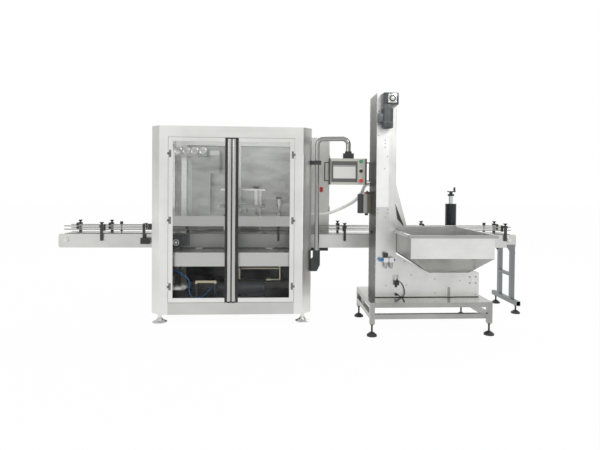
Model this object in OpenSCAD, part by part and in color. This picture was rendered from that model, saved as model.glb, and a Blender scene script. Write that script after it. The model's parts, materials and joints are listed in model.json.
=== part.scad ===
// Vacuum capping line: a glazed capping cabinet, the slat chain conveyor that runs through it and the cap
// elevator with its hopper in front of the outfeed.
// The origin is on the floor in the footprint's middle, +X along the jars' travel, +Y away from the operator.

/* [Line] */
// Length of conveyor in front of the cabinet
infeed_l = 1055; // [700:1600]
// Length of conveyor after the cabinet
outfeed_l = 2355; // [2200:3000]
// Width over conveyor's side plates
conv_w = 330; // [300:400]
// Middle of conveyor, behind the cabinet's front
conv_in = 553; // [520:590]
// Lower edge of conveyor's side plates
conv_z0 = 724; // [722:760]
// Height of conveyor's side plates
conv_h = 148; // [140:170]
// Thickness of conveyor's side plates
conv_t = 4; // [3:0.5:6]
// Width of slat chain
chain_w = 254; // [200:270]
// Thickness of a chain slat
chain_t = 5; // [4:0.5:6]
// Height of slats above the side plates
chain_up = 5; // [3:0.5:8]

/* [Cabinet] */
// Width of cabinet
cab_w = 1630; // [1600:1700]
// Depth of cabinet
cab_d = 1120; // [1080:1200]
// Height of cabinet's roof above the floor
cab_top = 2000; // [1950:2100]
// Height of cabinet's lower edge above the floor
cab_z0 = 95; // [80:110]
// Depth of slanted corners
corner_c = 92; // [80:100]
// Width of a post's flat beside the door
post_f = 87; // [80:95]
// Thickness of folded posts
post_t = 60; // [54:66]
// Sheet thickness of posts and rails
post_s = 3; // [2:0.5:4]
// Height of upper rails
rail_top = 112; // [100:120]
// Height of lower rails
rail_low = 121; // [110:130]
// Thickness of wall sheets
wall_t = 2; // [1.5:0.5:3]
// Thickness of clear panels
clear_t = 6; // [4:8]

/* [Doors] */
// Thickness of door frames
door_t = 30; // [25:36]
// Gap around the doors
door_gap = 3; // [2:0.5:5]
// Width of hinge stiles
stile_w = 45; // [40:55]
// Height of top rail
door_top = 38; // [32:50]
// Height of bottom rail
door_low = 45; // [40:60]
// Lower edge of middle rail
door_mid_z = 991; // [960:1010]
// Height of middle rail
door_mid = 103; // [90:110]
// Width of rounded handle profile
grip_w = 43; // [38:50]
// How far the handle profile stands out
grip_out = 30; // [20:36]
// Width of black seal beside the handle profile
seal_w = 23; // [18:28]
// Thickness of door glass
glass_t = 5; // [4:6]

/* [Table and capping station] */
// Height of table's top
table_z = 716; // [700:718]
// Thickness of table plate
table_t = 12; // [10:15]
// Height of table's apron
apron_h = 142; // [120:160]
// Capping axis, right of the cabinet's middle
cap_dx = -60; // [-90:1:-40]
// Underside of vacuum hood when it is raised
hood_z = 1002; // [990:1030]
// Diameter of vacuum hood
hood_d = 150; // [130:170]
// Height of vacuum hood
hood_h = 74; // [60:90]
// Diameter of guide columns
guide_d = 40; // [35:50]
// Top of bridge over the guide columns
bridge_z = 1366; // [1340:1400]

/* [Elevator] */
// Elevator's left face, right of the cabinet's middle
el_dx = 1423; // [1400:1500]
// Elevator's front plate, in front of the cabinet's front
el_out = 251; // [230:280]
// Depth over elevator's plates
el_d = 337; // [320:360]
// Width of elevator's column
col_w = 193; // [180:210]
// Length of elevator's foot
base_l = 1038; // [1000:1100]
// Top of elevator's foot
base_z = 560; // [545:580]
// Top of elevator's column
col_z = 2318; // [2280:2400]
// Thickness of elevator's plates
plate_t = 5; // [4:0.5:8]
// Radius of the belt's pulleys
pulley_r = 42; // [38:50]
// Thickness of cleated belt
belt_t = 4; // [3:0.5:5]
// Height of belt's cleats
cleat_h = 16; // [10:18]

/* [Hopper] */
// Hopper's left wall, right of the elevator's left face
hop_dx = 203; // [200:215]
// Width of hopper
hop_w = 758; // [740:800]
// Hopper's front wall, in front of the cabinet's front
hop_out = 742; // [700:780]
// Depth of hopper
hop_d = 910; // [880:960]
// Height of hopper's rim above the floor
hop_z = 982; // [970:1000]
// Height of hopper's upright walls
hop_h = 210; // [190:220]
// Width of hopper's folded lip
hop_lip = 24; // [18:30]
// Sheet thickness of the hopper
hop_t = 3; // [2:0.5:4]

/* [Stand] */
// Width over stand
stand_w = 1175; // [1150:1250]
// Depth over stand
stand_d = 722; // [700:760]
// Height of stand's top
stand_z = 318; // [305:330]
// Size of the stand's square tube
stand_tube = 45; // [40:50]
// Lower edge of stand's legs
stand_leg_z = 115; // [100:125]
// Lower edge of stand's lower rails
stand_rail_z = 162; // [155:180]

/* [Operator panel] */
// Diameter of bent arm tube
arm_d = 50; // [44:54]
// Reach of the arm
arm_l = 320; // [310:340]
// Height of arm's upper run
arm_z = 1896; // [1880:1920]
// Angle of the arm towards the operator
arm_turn = 12; // [10:20]
// Width of panel housing
panel_w = 387; // [370:390]
// Height of panel housing
panel_h = 267; // [250:280]
// Depth of panel housing
panel_d = 90; // [80:100]
// Lower edge of panel housing
panel_z = 1421; // [1400:1440]

/* [Hidden] */
$fn = 48;

// Overrun of cuts, clearance of running fits and of curved faces that only pass each other
eps = 1;
fit = 0.05;
pass = 0.4;
// Tangent of half a right angle's half, for the folded corners
fold_share = tan(22.5);

// Line: ends and middles in the part's own frame
line_l = infeed_l + cab_w + outfeed_l;
line_x0 = -line_l / 2;
line_x1 = line_l / 2;
cab_x = line_x0 + infeed_l + cab_w / 2;
cab_x0 = cab_x - cab_w / 2;
cab_x1 = cab_x + cab_w / 2;
cab_y = (hop_out + hop_lip - cab_d) / 2;
cab_y1 = cab_y + cab_d;
cab_mid = cab_y + cab_d / 2;
near_end = -cab_w / 2 - infeed_l;
far_end = cab_w / 2 + outfeed_l;
conv_y = cab_y + conv_in;

// Cabinet: corner post with its flats, the door opening between the posts and the sheets' seats
post_in = corner_c + post_f;
open_x = cab_w / 2 - post_in;
rail_z1 = cab_top - rail_top;
rail_z0 = cab_z0 + rail_low;
foot_plate = 10;
wall_in = 20;
pan_up = 40;
roof_in = 12;
mullion = 50;
window_m = 36;
window_z0 = 1130;
window_z1 = 1840;
tunnel_gap = 48;
tunnel_z0 = 690;
tunnel_z1 = 1062;
seat = 12;
latch_r = 14;
latch_out = 8;
latch_in = 40;
latch_n = 3;

// Cabinet feet: turned steel cones under the posts
foot_in = 84;
foot_r = 74;
foot_edge = 9;
foot_neck_r = 19;
foot_neck_z = 52;
foot_flare_r = 40;
foot_flare_z = 24;

// Door hinges: pin axis in front of the gap, knuckles in thirds
hinge_out = 9;
hinge_r = 8;
pin_r = 4;
hinge_l = 72;
leaf_w = 30;
leaf_t = 3;
hinge_s = 1;
relief = 10;
hinge_zs = [cab_z0 + 285, cab_z0 + 955, cab_z0 + 1625];
hinge_dx = open_x - door_gap / 2;

// Doors
door_x0 = open_x - door_gap;
door_x1 = door_gap / 2;
door_z0 = rail_z0 + door_gap;
door_z1 = rail_z1 - door_gap;
door_s = 3;
door_rebate = 8;
glass_play = 0.5;
grip_stile = grip_w + seal_w;
seal_out = 7;
grip_cap = 14;

// Table, guide columns and the capping station
table_play = 0;
table_in = post_t + table_play;
apron_t = 6;
motor_hole = 132;
pad_l = 70;
pad_w = 30;
pad_share = 0.6;
cap_x = cab_x + cap_dx;
guide_y = conv_y + 240;
guide_dx = [-55, 330];
flange_r = 42;
flange_h = 16;
bridge_t = 22;
bridge_front = 60;
bridge_side = 60;
deck_t = 26;
deck_z = 1154;
deck_z1 = deck_z + deck_t;
deck_front = 75;
lift_dx = 286;
lift_bush_r = 28;
lift_rod_r = 10;
lift_tail = 90;
lift_play = 4;
lift_pin = 60;
lift_y = conv_y + 120;
bridge_back = 60;
lobed_r = 42;
lobed_h = 28;
lobe_r = 12;
lobes = 5;
adjust_dx = 547;
adjust_in = 205;
adjust_r = 23;
adjust_z = 1246;
adjust_rod = 20;
adjust_base_r = 35;
hood_wall = 6;
neck_r = 34;
motor_r = 48;
motor_h = 120;
motor_base = 12;
spindle_r = 12;
chuck_r = 44;
chuck_h = 34;
chuck_up = 14;
port_r = 9;
port_h = 60;
port_dx = 185;
clamp_z = 905;
clamp_h = 46;
clamp_l = 130;
clamp_t = 34;
clamp_open = 62;
clamp_v = 22;
jaw_r = 8;
clamp_out = 104;
cyl_r = 26;
cyl_l = 92;

// Lower compartment: vacuum pump with its pipes, filter and hose
pump_x = cab_x - 40;
pump_y = cab_y + 330;
pump_r = 95;
pump_l = 330;
pump_z = 300;
pump_base = 24;
pump_rail = 24;
pump_r2 = 78;
pump_l2 = 210;
pipe_r = 14;
pipe_l = 300;
pipe_zs = [384, 508];
filter_r = 42;
filter_h = 120;
filter_dx = -655;
filter_y = 195;
hose_r = 6;
bar_l = 220;
bar_s = 24;
bar_dx = -390;
bar_in = 190;
bar_z0 = 378;
filter_z = 420;
port_x = 60;
pipe_x1 = 500;
hose_sides = 12;

// Route points of the vacuum hose, the ribbed hose and the sensor lead, from the cabinet's front middle;
// the first and the last point only set the direction
vacuum_route = [[-640, 195, 500], [-612.8, 195, 500], [-585, 195, 498], [-515, 206, 465], [-455, 234, 380],
  [-465, 247, 285], [-425, 275, 205], [-335, 310, 205], [-255, 330, 280], [-225, 330, 300],
  [-205.8, 330, 300],
  [-185, 330, 300]];
hose_route = [[735, 260, 1100], [795.4, 260, 1100], [855, 260, 1100], [915, 253, 1101], [975, 246, 1108],
  [1033, 240, 1121], [1090, 233, 1142], [1145, 226, 1166], [1197, 215, 1194], [1247, 195, 1224],
  [1290, 168, 1258], [1324, 138, 1300], [1349, 107, 1348], [1367, 84, 1400], [1391, 70, 1428],
  [1422.4, 70, 1428], [1455, 70, 1428]];
lead_route = [[1630, -268, 474], [1650.4, -268, 474], [1670, -268, 468], [1692, -268, 442], [1707, -268, 402],
  [1711, -268, 360], [1700, -267, 333], [1678, -265, 325], [1658, -263, 335], [1648, -262, 349],
  [1640.4, -262, 350], [1630, -262, 350]];
ribbed_r = 17;
ribbed_bore = 11;
rib_h = 3;
rib_sides = 8;
rib_steps = 12;

// Rear fittings: a cover, a bolted post, a valve box and a row of dial gauges
fit_in = 240;
post_dx = -510;
post_s2 = 66;
post_z = 1752;
cover_w = 148;
cover_d = 60;
cover_z = 1735;
valve_w = 112;
valve_z0 = 1545;
valve_h = 270;
valve_d = 90;
dial_r = 40;
dial_t = 26;
dial_n = 4;
dial_step = 96;
dial_z = 1812;
dial_x = -700;
stud_r = 9;
stud_t = 6;
stud_n = 9;
plate_m = 44;

// Conveyor: frame, loop of slats and shafts
conv_x0 = line_x0;
conv_x1 = line_x1;
conv_z1 = conv_z0 + conv_h;
conv_y0 = conv_y - conv_w / 2;
conv_y1 = conv_y + conv_w / 2;
chain_z1 = conv_z1 + chain_up;
chain_z0 = conv_z0 + 20;
chain_r = (chain_z1 - chain_z0) / 2;
chain_mid = (chain_z1 + chain_z0) / 2;
shaft_in = chain_r + 9;
shaft_r = 15;
wheel_w = 40;
wheel_dy = 38;
hub_r = 32;
hub_t = 12;
strip_w = 30;
strip_h = 10;
strip_dy = 80;
tie_s = 14;
tie_n = 9;
tie_in = 190;
low_strip = 8;
brace_h = 8;
flange_in = 14;
drive_dx = -613;
drive_z = conv_z0 + 66;

// Guide rails and their clamps
rail_r = 6;
rail_dy = 95;
rail_zs = [915, 950];
jaw_z = (rail_zs[0] + rail_zs[1]) / 2;
rail_gap = [-300, 250];
front_xs = [near_end + 455, -742, 480, 1213, far_end - 130];
rear_xs = [near_end + 100, near_end + 452, -560, 620, 1180, far_end - 990, far_end - 98];
post_w2 = 26;
post_d2 = 22;
post_z0 = 800;
post_back_z = 850;
head_w = 40;
head_h = 26;
head_z = 958;
rod_r = 5;
rod_drop = 7;
rail_end = 30;
block_w = 24;
block_d = 20;
block_over = 9;
knob_r1 = 9;
knob_r2 = 22;
knob_neck = 8;
knob_cone = 16;
knob_top = 5;
sensor_dx = [near_end + 558, far_end - 220];
sensor_r = 17;
sensor_l = 40;

// Jar stop beside the infeed: a box on the side plate with a bent bracket and a stop rod
stop_dx = -cab_w / 2 - 135;
stop_w = 96;
stop_h = 64;
stop_d = 46;
stop_z = 768;
bent_w = 30;
bent_t = 4;
bent_z = 985;
stop_rod_r = 8;
stop_y = conv_y - rail_dy + bent_w;

// Legs at the outfeed end
leg_dx = far_end - 32;
leg_s = 45;
beam_z = 95;
beam_h = 50;
beam_l = 600;
leg_rung_z = 400;
leg_rung_h = 30;
leg_foot_in = 64;
gusset = 70;
gusset_t = 6;
support_l = 215;
support_h = 34;
support_w = 24;

// Dark machine feet under the stand and the legs
pad_r = 48;
pad_h = 14;
pad_cone_r = 20;
pad_cone_z = 36;
stem_r = 9;
nut_r = 15;
nut_h = 12;

// Conveyor's gearmotor
gm_w = 180;
gm_t = 8;
gm_up = 80;
gm_low = 46;
gm_box = 112;
gm_box_d = 74;
gm_hub_r = 33;
gm_hub_t = 8;
gm_motor_r = 54;
gm_motor_l = 190;
gm_motor_cap = 30;
gm_gap = 6;
gm_neck_r = 44;
gm_left = 47;
gm_wall = 10;

// Electrical box with its door
box_w = 265;
box_d = 360;
box_in = 750;
box_z0 = 842;
box_z1 = 1972;
box_s = 2;
door_b0 = 1016;
door_b1 = 1850;
door_bt = 18;
box_gap = 3;
box_plate = 30;
box_zs = [door_b0 + 120, door_b1 - 120];
switch_z = 1363;
switch_dx = 168;
switch_r = 21;
switch_t = 10;
switch_grip = 8;
switch_out = 22;
switch_shaft = 5;
dev_n = 4;
dev_w = 54;
dev_h = 90;
dev_d = 62;
dev_gap = 14;

// Operator panel: arm, swivel and the pieces on the panel
arm_x = cab_x1 + 62;
arm_y = cab_y + 105;
arm_r = arm_d / 2;
arm_bend = 62;
arm_z0 = 622;
arm_end_z = 1764;
cast_z0 = 520;
cast_foot = 120;
cast_z1 = 735;
cast_w = 66;
cast_wall = 14;
cast_gap = 16;
clip_z = 1648;
clip_h = 42;
clip_wall = 12;
swivel_w = 104;
swivel_d = 66;
swivel_neck = 20;
panel_back = 20;
panel_dx = -14;
swivel_r = 34;
spigot = 40;
panel_s = 3;
face_t = 6;
face_m = 10;
bezel_w = 268;
bezel_h = 211;
bezel_dx = -36;
bezel_dz = 0;
bezel_t = 6;
screen_w = 224;
screen_h = 130;
screen_dz = -2;
screen_t = 2;
key_dx = 135;
key_dz = [105, 8, -91];
key_r = 14;
key_rim_r = 19;
key_rim_t = 4;
key_out = 12;
key_travel = 4;
mushroom_r = 20;
mushroom_t = 12;
edge_w = 15;
edge_t = 5;
handle_out = 44;
grip_bar = 10;
handle_h = 196;

// Ends of the panel housing
panel_px = arm_x + arm_l * cos(arm_turn);
panel_py = arm_y - arm_l * sin(arm_turn);
panel_x0 = panel_px + panel_dx - panel_w / 2;
panel_x1 = panel_x0 + panel_w;
panel_y1 = panel_py + panel_back;
panel_y0 = panel_y1 - panel_d;
panel_z1 = panel_z + panel_h;
panel_cx = (panel_x0 + panel_x1) / 2;
panel_cz = (panel_z + panel_z1) / 2;
key_x = panel_cx + key_dx;

// Elevator: plates, covers, belt and pulleys
el_x0 = cab_x + el_dx;
el_x1 = el_x0 + col_w;
el_y0 = cab_y - el_out;
el_y1 = el_y0 + el_d;
el_z0 = stand_z;
stand_dx = 1331;
stand_out = 460;
stand_s = 3;
stand_x0 = cab_x + stand_dx;
stand_x1 = stand_x0 + stand_w;
stand_y0 = cab_y - stand_out;
stand_y1 = stand_y0 + stand_d;
slope_z = 745;
base_x1 = el_x0 + base_l;
main_w = 121;
low_w = 128;
low_z = 1208;
shelf_z = 962;
shelf_x = el_x0 + 200;
belt_in = 34;
belt_ys = [el_y0 + plate_t + belt_in, el_y1 - plate_t - belt_in];
head_x = el_x0 + 124;
top_z = col_z - 68;
tail_z = el_z0 + 170;
tail_x = base_x1 - 62;
bend_r = 70;
cleat_t = 4;
cleat_p = 150;
axle_r = 12;
belt_edge = 30;
cover_t = 3;
strip_back = 4;
lid_x = base_x1 - 99;
chute_z1 = 1442;
chute_x = el_x0 + 312;
chute_z = 1004;
chute_w = 50;
bolt_r = 6;
bolt_t = 4;
tail_plate = 84;
tail_ring = 30;
slot_r = 11;
guide_w = 66;
guide_h = 118;
guide_x = base_x1 - 332;

// Elevator's gearmotor on the head shaft
head_box_w = 152;
head_box_h = 118;
head_box_d = 92;
head_sq = 84;
flange_t = 9;
head_ring_r = 30;
head_ring_t = 8;
head_hub_r = 20;
motor_dx = -39;
box_shift = 10;
motor_r2 = 56;
bell_h = 36;
motor_l2 = 188;
head_cap_l = 52;
bell_r = 48;
tail_r = 58;
term_w = 44;
term_h = 78;
term_d = 52;

// Hopper
hop_x0 = el_x0 + hop_dx;
hop_x1 = hop_x0 + hop_w;
hop_y0 = cab_y - hop_out;
hop_y1 = hop_y0 + hop_d;
hop_wall_z = hop_z - hop_h;
mouth_dx0 = 335;
mouth_dx1 = 22;
lip_h = 26;

// Control box on the column with its finned drive
ctrl_w = 74;
ctrl_d = 75;
ctrl_h = 200;
ctrl_z = 1128;
ctrl_in = 262;
fin_w = 50;
fin_n = 7;
fin_t = 4;
fin_back = 8;
fin_block = 14;
gland_r = 17;
gland_h = 22;

// Air service unit on the front plate
air_dx = 92;
air_z = 694;
air_box = 44;
air_box_d = 42;
air_stand = 14;
air_step = 54;
bowl_r = 21;
bowl_h = 62;
bowl_tip_r = 12;
air_knob_r = 21;
air_knob_h = 44;
air_r = 10;
air_l = 30;
elbow_r = 14;

// Cap level sensor below the hopper with its lead
sens_dx = 205;
sens_z = 468;
sens_w = 44;
sens_h = 50;
sens_d = 34;
sens_arm = 66;
lead_end_z = 350;
lead_r = 4;

// Crank column behind the outfeed
crank_dx = far_end - 599;
crank_back = 92;
crank_r = 65;
crank_z0 = 905;
crank_z1 = 1204;
crank_r2 = 26;
crank_z2 = 1298;
collar_r = 38;
collar_t = 22;
crank_n = 20;
crank_h = 24;
crank_arm_w = 26;
crank_arm_t = 12;
crank_arm_l = 84;
grip_r2 = 12;
grip_l2 = 58;
shelf_t = 12;
shelf_w = 150;
crank_pin_r = 12;
crank_in = 90;

// A range with the cut's overrun at both ends
function over(r) = [r[0] - eps, r[1] + eps];

// A box from its ranges along X, Y and Z
module block(x, y, z) {
  translate([x[0], y[0], z[0]])
    cube([x[1] - x[0], y[1] - y[0], z[1] - z[0]]);
}

// Round bars along each axis, from a range along that axis
module bar_x(x, y, z, r) {
  translate([x[0], y, z])
    rotate([0, 90, 0])
      cylinder(h = x[1] - x[0], r = r);
}

module bar_y(x, y, z, r) {
  translate([x, y[1], z])
    rotate([90, 0, 0])
      cylinder(h = y[1] - y[0], r = r);
}

module bar_z(x, y, z, r) {
  translate([x, y, z[0]])
    cylinder(h = z[1] - z[0], r = r);
}

// Rectangular tubes along each axis with wall t
module tube_x(x, y, z, t) {
  difference() {
    block(x, y, z);
    block(over(x), [y[0] + t, y[1] - t], [z[0] + t, z[1] - t]);
  }
}

module tube_y(x, y, z, t) {
  difference() {
    block(x, y, z);
    block([x[0] + t, x[1] - t], over(y), [z[0] + t, z[1] - t]);
  }
}

module tube_z(x, y, z, t) {
  difference() {
    block(x, y, z);
    block([x[0] + t, x[1] - t], [y[0] + t, y[1] - t], over(z));
  }
}

// A plate cut from an outline in X and Z, between two places along Y
module sheet_xz(points, y) {
  translate([0, y[1], 0])
    rotate([90, 0, 0])
      linear_extrude(y[1] - y[0])
        polygon(points);
}

// A prism cut from an outline in Y and Z, between two places along X
module sheet_yz(points, x) {
  translate([x[0], 0, 0])
    rotate([90, 0, 90])
      linear_extrude(x[1] - x[0])
        polygon(points);
}

// The same again, mirrored to the other side of the cabinet's middle
module other_side() {
  translate([cab_x, 0, 0])
    mirror([1, 0, 0])
      translate([-cab_x, 0, 0])
        children();
}

// A clamping knob: neck, flared head and flat top, standing on z
module flared_knob(x, y, z) {
  translate([x, y, z])
    rotate_extrude()
      polygon([[0, 0], [knob_r1, 0], [knob_r1, knob_neck], [knob_r2, knob_neck + knob_cone],
        [knob_r2, knob_neck + knob_cone + knob_top], [0, knob_neck + knob_cone + knob_top]]);
}

// A lobed knob: a hub with round lobes, standing on z
module lobed_knob(x, y, z) {
  bar_z(x, y, [z, z + lobed_h], lobed_r - lobe_r);
  for (i = [0:lobes - 1])
    translate([x, y, z + lobed_h / 4])
      rotate([0, 0, i * 360 / lobes])
        translate([lobed_r - lobe_r, 0, 0])
          cylinder(h = lobed_h / 2, r = lobe_r);
}

// Cabinet

// Outline of a folded corner post, inset by w from its faces
function post_points(w) = let (l = post_in, t = post_t, c = corner_c, k = fold_share) [
  [c + k * w, w], [l - w, w], [l - w, t - w], [c + k * (t - w), t - w],
  [t - w, c + k * (t - w)], [t - w, l - w], [w, l - w], [w, c + k * w]
];

// Copies to the four corners of the cabinet, drawn at the front left one
module four_corners() {
  for (mx = [0, 1], my = [0, 1])
    translate([cab_x, cab_mid, 0])
      mirror([mx, 0, 0])
        mirror([0, my, 0])
          translate([-cab_w / 2, -cab_d / 2, 0])
            children();
}

module corner_posts() {
  color("silver")
    four_corners() {
      translate([0, 0, cab_z0])
        linear_extrude(cab_top - cab_z0)
          difference() {
            polygon(post_points(0));
            polygon(post_points(post_s));
          }
      for (z = [cab_z0, cab_top - foot_plate])
        translate([0, 0, z])
          linear_extrude(foot_plate)
            polygon([[corner_c, 0], [post_in, 0], [post_in, post_in], [0, post_in], [0, corner_c]]);
    }
}

module cabinet_rails() {
  x = [cab_x - open_x, cab_x + open_x];
  y = [cab_y + post_in, cab_y1 - post_in];
  color("silver") {
    for (z = [[cab_z0, rail_z0], [rail_z1, cab_top]]) {
      tube_x(x, [cab_y, cab_y + post_t], z, post_s);
      tube_x(x, [cab_y1 - post_t, cab_y1], z, post_s);
      tube_y([cab_x0, cab_x0 + post_t], y, z, post_s);
      tube_y([cab_x1 - post_t, cab_x1], y, z, post_s);
    }
    tube_z([cab_x - mullion / 2, cab_x + mullion / 2], [cab_y1 - mullion, cab_y1],
      [rail_z0, rail_z1], post_s);
  }
}

// Outline in X and Y of a level sheet that fits inside the rails and clears the posts
function deck_points(x, y, in_x, in_y) = [
  [-in_x, -y], [in_x, -y], [in_x, -in_y], [x, -in_y], [x, in_y], [in_x, in_y],
  [in_x, y], [-in_x, y], [-in_x, in_y], [-x, in_y], [-x, -in_y], [-in_x, -in_y]
];

module deck(z, t) {
  translate([cab_x, cab_mid, z])
    linear_extrude(t)
      polygon(deck_points(cab_w / 2 - post_t, cab_d / 2 - post_t, open_x, cab_d / 2 - post_in));
}

module side_sheet() {
  x = [cab_x0 + wall_in, cab_x0 + wall_in + wall_t];
  tunnel = [conv_y0 - tunnel_gap, conv_y1 + tunnel_gap];
  difference() {
    block(x, [cab_y + post_in, cab_y1 - post_in], [rail_z0, rail_z1]);
    block(over(x), tunnel, [tunnel_z0, tunnel_z1]);
    block(over(x), [cab_y + post_in + window_m, cab_y1 - post_in - window_m],
      [window_z0, window_z1]);
  }
}

module wall_panels() {
  y = [cab_y1 - wall_in - wall_t, cab_y1 - wall_in];
  color("gainsboro") {
    side_sheet();
    other_side()
      side_sheet();
    for (s = [0, 1])
      translate([cab_x, 0, 0])
        mirror([s, 0, 0]) {
          block([mullion / 2, open_x], y, [rail_z0, rail_z1]);
          for (i = [0:latch_n - 1])
            bar_y(mullion / 2 + latch_in, [y[1], y[1] + latch_out],
              rail_z0 + (i + 1) * (rail_z1 - rail_z0) / (latch_n + 1), latch_r);
        }
    deck(cab_z0 + pan_up, wall_t);
  }
}

module side_window() {
  x = cab_x0 + wall_in + wall_t;
  block([x, x + clear_t], [cab_y + post_in + window_m - seat, cab_y1 - post_in - window_m + seat],
    [window_z0 - seat, window_z1 + seat]);
}

module clear_panels() {
  color("lightcyan", 0.4) {
    deck(cab_top - roof_in, clear_t);
    side_window();
    other_side()
      side_window();
  }
}

module cabinet_feet() {
  color("silver")
    four_corners()
      translate([foot_in, foot_in, 0])
        rotate_extrude()
          polygon([[0, 0], [foot_r, 0], [foot_r, foot_edge], [foot_flare_r, foot_flare_z],
            [foot_neck_r, foot_neck_z], [foot_neck_r, cab_z0], [0, cab_z0]]);
}

// Doors and their hinges, drawn on the left and mirrored to the right

// One half of each hinge: its leaf, and the knuckles that it keeps
module hinge_part(side, keep) {
  x = cab_x - hinge_dx;
  y = cab_y - hinge_out;
  third = hinge_l / 3;
  for (c = hinge_zs) {
    z0 = c - hinge_l / 2;
    block(side < 0 ? [x - leaf_w, x - relief] : [x + relief, x + leaf_w], [cab_y - leaf_t, cab_y],
      [z0, z0 + hinge_l]);
    for (i = keep) {
      z = [z0 + i * third + hinge_s / 2, z0 + (i + 1) * third - hinge_s / 2];
      difference() {
        union() {
          bar_z(x, y, z, hinge_r);
          block(side < 0 ? [x - relief - eps, x] : [x, x + relief + eps],
            [cab_y - leaf_t, cab_y - hinge_s], z);
        }
        if (side > 0)
          bar_z(x, y, over(z), pin_r + fit);
      }
    }
    if (side < 0)
      bar_z(x, y, [z0 + eps, z0 + hinge_l - eps], pin_r);
  }
}

module post_hinges() {
  color("silver") {
    hinge_part(-1, [0, 2]);
    other_side()
      hinge_part(-1, [0, 2]);
  }
}

// The two window openings of a left door, grown by g
module windows(y, g) {
  x = [cab_x - door_x0 + stile_w - g, cab_x - door_x1 - grip_stile + g];
  block(x, y, [door_z0 + door_low - g, door_mid_z + g]);
  block(x, y, [door_mid_z + door_mid - g, door_z1 - door_top + g]);
}

module door_frame() {
  x = [cab_x - door_x0, cab_x - door_x1];
  difference() {
    block(x, [cab_y, cab_y + door_t], [door_z0, door_z1]);
    windows([cab_y - eps, cab_y + door_s + eps], 0);
    windows([cab_y + door_s, cab_y + door_t + eps], door_rebate);
    difference() {
      block([x[0] + door_s, x[1] - door_s], [cab_y + door_s, cab_y + door_t + eps],
        [door_z0 + door_s, door_z1 - door_s]);
      windows([cab_y, cab_y + door_t + 2 * eps], door_rebate + door_s);
    }
  }
  hinge_part(1, [1]);
}

module left_door_frame() {
  color("silver")
    door_frame();
}

module right_door_frame() {
  color("silver")
    other_side()
      door_frame();
}

module left_door_glass() {
  color("lightcyan", 0.35)
    windows([cab_y + door_s, cab_y + door_s + glass_t], door_rebate - glass_play);
}

module right_door_glass() {
  color("lightcyan", 0.35)
    other_side()
      windows([cab_y + door_s, cab_y + door_s + glass_t], door_rebate - glass_play);
}

// Rounded full height handle profile, its end caps and the seal strip beside it, each on the door's front
module grip_profile(z) {
  r = grip_w / 2;
  translate([cab_x - door_x1 - r, cab_y, z[0]])
    linear_extrude(z[1] - z[0])
      difference() {
        union() {
          translate([0, r - grip_out])
            circle(r);
          translate([-r, r - grip_out])
            square([grip_w, grip_out]);
        }
        translate([-r - eps, 0])
          square([grip_w + 2 * eps, grip_w]);
      }
}

module door_grip() {
  x = cab_x - door_x1 - grip_w;
  grip_profile([door_z0 + grip_cap, door_z1 - grip_cap]);
  grip_profile([door_z0, door_z0 + grip_cap - pass]);
  grip_profile([door_z1 - grip_cap + pass, door_z1]);
  block([x - seal_w, x - pass], [cab_y - seal_out, cab_y], [door_z0, door_z1]);
}

module left_door_grip() {
  color("darkgray")
    door_grip();
}

module right_door_grip() {
  color("darkgray")
    other_side()
      door_grip();
}

// Table and the capping station on it

module machine_table() {
  a = corner_c + post_t * sqrt(2) - table_in;
  x = cab_w / 2 - table_in;
  y = cab_d / 2 - table_in;
  k = [cab_w / 2 - a, cab_d / 2 - a];
  low = [table_z - apron_h, table_z - table_t];
  motor = [cab_x + drive_dx, conv_y0 - gm_t - gm_box_d / 2];
  color("lightgray") {
    difference() {
      translate([cab_x, cab_mid, table_z - table_t])
        linear_extrude(table_t)
          polygon([[-k[0], -y], [k[0], -y], [x, -k[1]], [x, k[1]], [k[0], y], [-k[0], y], [-x, k[1]],
            [-x, -k[1]]]);
      block([motor[0] - motor_hole / 2, motor[0] + motor_hole / 2],
        [motor[1] - motor_hole / 2, motor[1] + motor_hole / 2], [table_z - table_t - eps, table_z + eps]);
    }
    for (s = [0, 1])
      translate([0, cab_mid, 0])
        mirror([0, s, 0])
          block([cab_x - k[0], cab_x + k[0]], [-y, -y + apron_t], low);
    for (s = [0, 1])
      translate([cab_x, cab_mid, 0])
        mirror([s, 0, 0])
          block([x - apron_t, x], [-k[1], k[1]], low);
    for (s = [-1, 1], y = [conv_y0 + conv_t / 2, conv_y1 - conv_t / 2])
      translate([cab_x + s * open_x * pad_share - pad_l / 2, y - pad_w / 2, table_z])
        cube([pad_l, pad_w, conv_z0 - table_z]);
  }
}

module guide_columns() {
  x = [cap_x + guide_dx[0] - bridge_side, cap_x + guide_dx[1] + bridge_side];
  lift_x = cap_x + lift_dx;
  color("gainsboro") {
    for (d = guide_dx) {
      bar_z(cap_x + d, guide_y, [table_z, table_z + flange_h], flange_r);
      bar_z(cap_x + d, guide_y, [table_z, bridge_z - bridge_t], guide_d / 2);
    }
    difference() {
      union() {
        block(x, [lift_y - bridge_front, guide_y + bridge_back], [bridge_z - bridge_t, bridge_z]);
        bar_z(lift_x, lift_y, [deck_z1 + lift_play, bridge_z - bridge_t], lift_bush_r);
      }
      bar_z(lift_x, lift_y, [deck_z, bridge_z + eps], lift_rod_r + fit);
    }
    difference() {
      union() {
        bar_z(cap_x + adjust_dx, conv_y + adjust_in, [table_z, table_z + flange_h], adjust_base_r);
        bar_z(cap_x + adjust_dx, conv_y + adjust_in, [table_z, adjust_z], adjust_r);
      }
      bar_z(cap_x + adjust_dx, conv_y + adjust_in, [adjust_z - adjust_rod - eps, adjust_z + eps],
        lift_rod_r + fit);
    }
  }
}

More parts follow.
